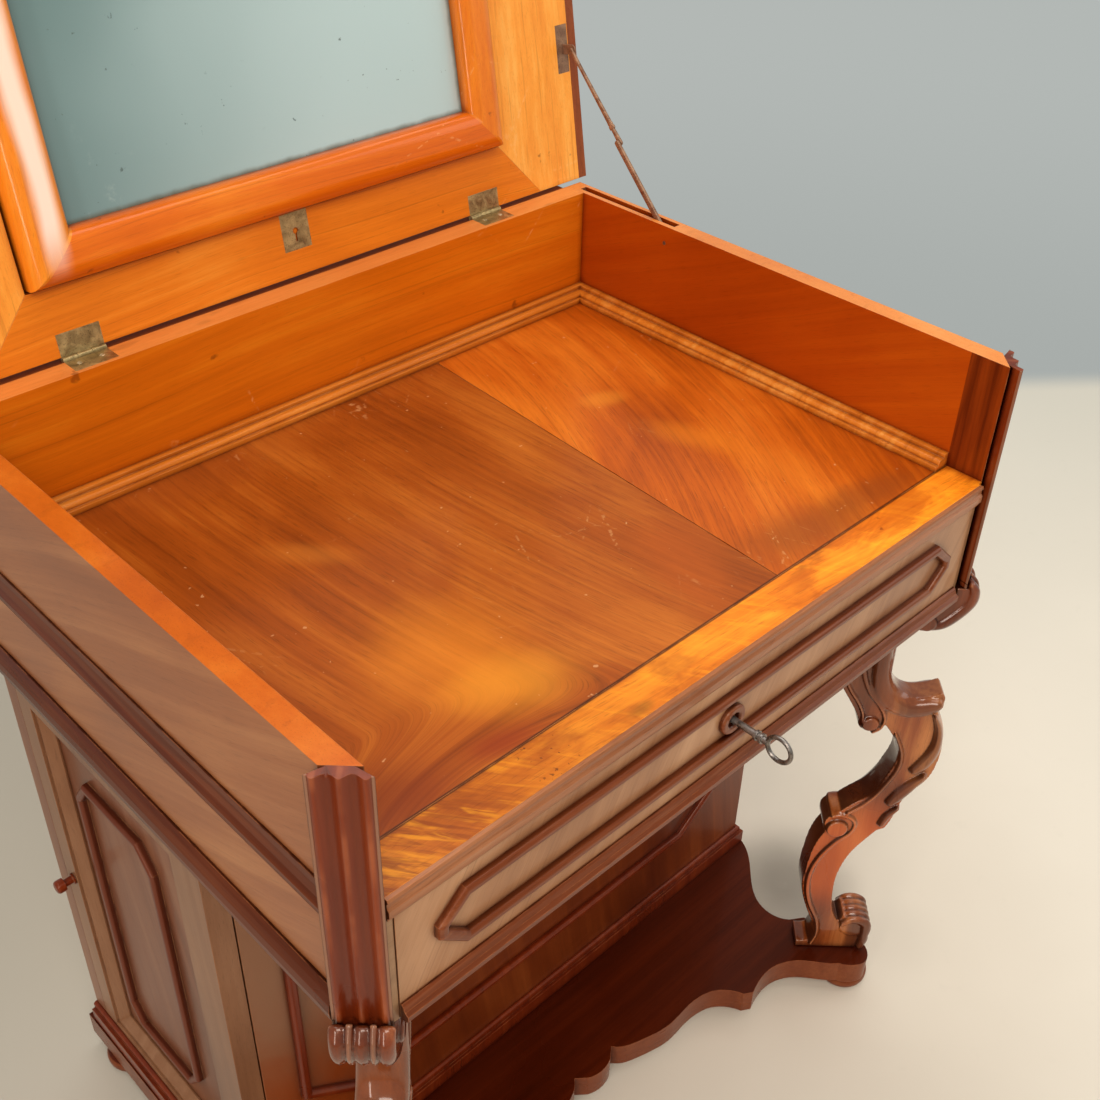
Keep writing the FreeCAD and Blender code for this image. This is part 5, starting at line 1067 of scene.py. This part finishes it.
def floor_material():
    """Pale studio floor with painted light and shade: brighter to the right, dimmer far off, in front and left
    of the cupboard.
    """
    t = Tree("studio_floor")
    x, y, z = t.parts(t.place)
    cloud = t.noise(t.place, 1.7, 4, 0.55)
    colour = t.ramp(cloud, [(0.25, tone(214, 198, 178)), (0.75, tone(226, 211, 192))])
    deep = t.times(t.total(x, y), DIAGONAL)
    right = t.times(t.math("SUBTRACT", x, y), DIAGONAL)
    # Painted shade far off, to the left and in front; painted light to the right.
    far = t.step(deep, 0.5, 1.9)
    colour = t.tint(far, colour, 196, 190, 176)
    left = t.fall(right, -0.9, 0.25)
    colour = t.tint(t.times(left, 0.85), colour, 156, 147, 132)
    near = t.fall(deep, -0.35, 0.05)
    colour = t.tint(t.times(near, 0.45), colour, 186, 174, 158)
    bright = t.times(t.step(right, 0.45, 0.95), 0.5)
    colour = t.tint(bright, colour, 234, 224, 208)
    for centre, radii, share in FLOOR_SHADES:
        shade = t.blob((*centre, 0), (*radii, 1), 0, 0.15)
        colour = t.tint(t.times(shade, share), colour, 112, 100, 86)
    speck = t.step(t.noise(t.place, 30, 4, 0.6), 0.60, 0.78, 0.0, 0.10)
    colour = t.tint(speck, colour, 190, 178, 160)
    shader = t.add("BsdfPrincipled", {
        "Base Color": colour, "Roughness": t.step(cloud, 0.3, 0.7, 0.5, 0.62)})
    wall = t.add("Emission", {"Color": tone(*WALL), "Strength": 0.88})
    away = t.shifted(t.place, (-FLOOR_CENTRE[0], -FLOOR_CENTRE[1], 0))
    away = t.add("VectorMath", {0: away}, operation="LENGTH").outputs[1]
    rim = t.step(away, FLOOR_RADIUS - FLOOR_BLEND, FLOOR_RADIUS)
    mixed = t.add("MixShader", {0: rim, 1: shader.outputs[0], 2: wall.outputs[0]})
    t.links.new(mixed.outputs[0], t.out.inputs[0])
    return t.material


def build_floor():
    """Pale round floor; its far edge is where the photograph's floor meets the wall."""
    turns = 256
    centre = Vector((*FLOOR_CENTRE, 0))
    made = bmesh.new()
    ring = []
    for k in range(turns):
        turn = math.tau * k / turns
        ring.append(made.verts.new(centre + Vector((math.cos(turn), math.sin(turn), 0)) * FLOOR_RADIUS))
    made.faces.new(ring)
    mesh = bpy.data.meshes.new("studio_floor")
    made.to_mesh(mesh)
    made.free()
    floor = bpy.data.objects.new("studio_floor", mesh)
    mesh.materials.append(floor_material())
    show(floor)


def build_room():
    """Grey wall all round, dimmer low down, with the lamps."""
    world = bpy.data.worlds.new("studio")
    bpy.context.scene.world = world
    world.use_nodes = True
    nodes, links = world.node_tree.nodes, world.node_tree.links
    sky = nodes["Background"]
    sky.inputs[0].default_value = tone(*WALL)
    heading = nodes.new("ShaderNodeTexCoord").outputs["Generated"]
    split = nodes.new("ShaderNodeSeparateXYZ")
    links.new(heading, split.inputs[0])
    fall = nodes.new("ShaderNodeMapRange")
    fall.interpolation_type = "SMOOTHSTEP"
    for key, value in zip(("From Min", "From Max", "To Min", "To Max"), (-0.46, -0.26, 0.87, 1.0)):
        fall.inputs[key].default_value = value
    links.new(split.outputs[2], fall.inputs["Value"])
    links.new(fall.outputs[0], sky.inputs[1])
    panel_light("key_light", (-1.5, -1.9, 3.0), (0.0, -0.1, 0.7), (1.8, 1.4), 62, (1, 0.95, 0.88))
    panel_light("top_light", (0.4, 0.3, 3.4), (0.1, 0.0, 0.7), (2.6, 2.6), 50)
    panel_light("fill_light", (2.2, -1.4, 1.8), (0.1, 0.0, 0.5), (1.6, 1.6), 12)
    panel_light("window_light", (-2.4, -1.0, 1.25), (-0.2, 0.2, 1.05), (0.35, 1.5), 16, (1, 0.93, 0.86))


look()
build_floor()
build_room()
dress_nodes()
carve()
fit_hardware()
bpy.context.scene.view_settings.view_transform = "Standard"
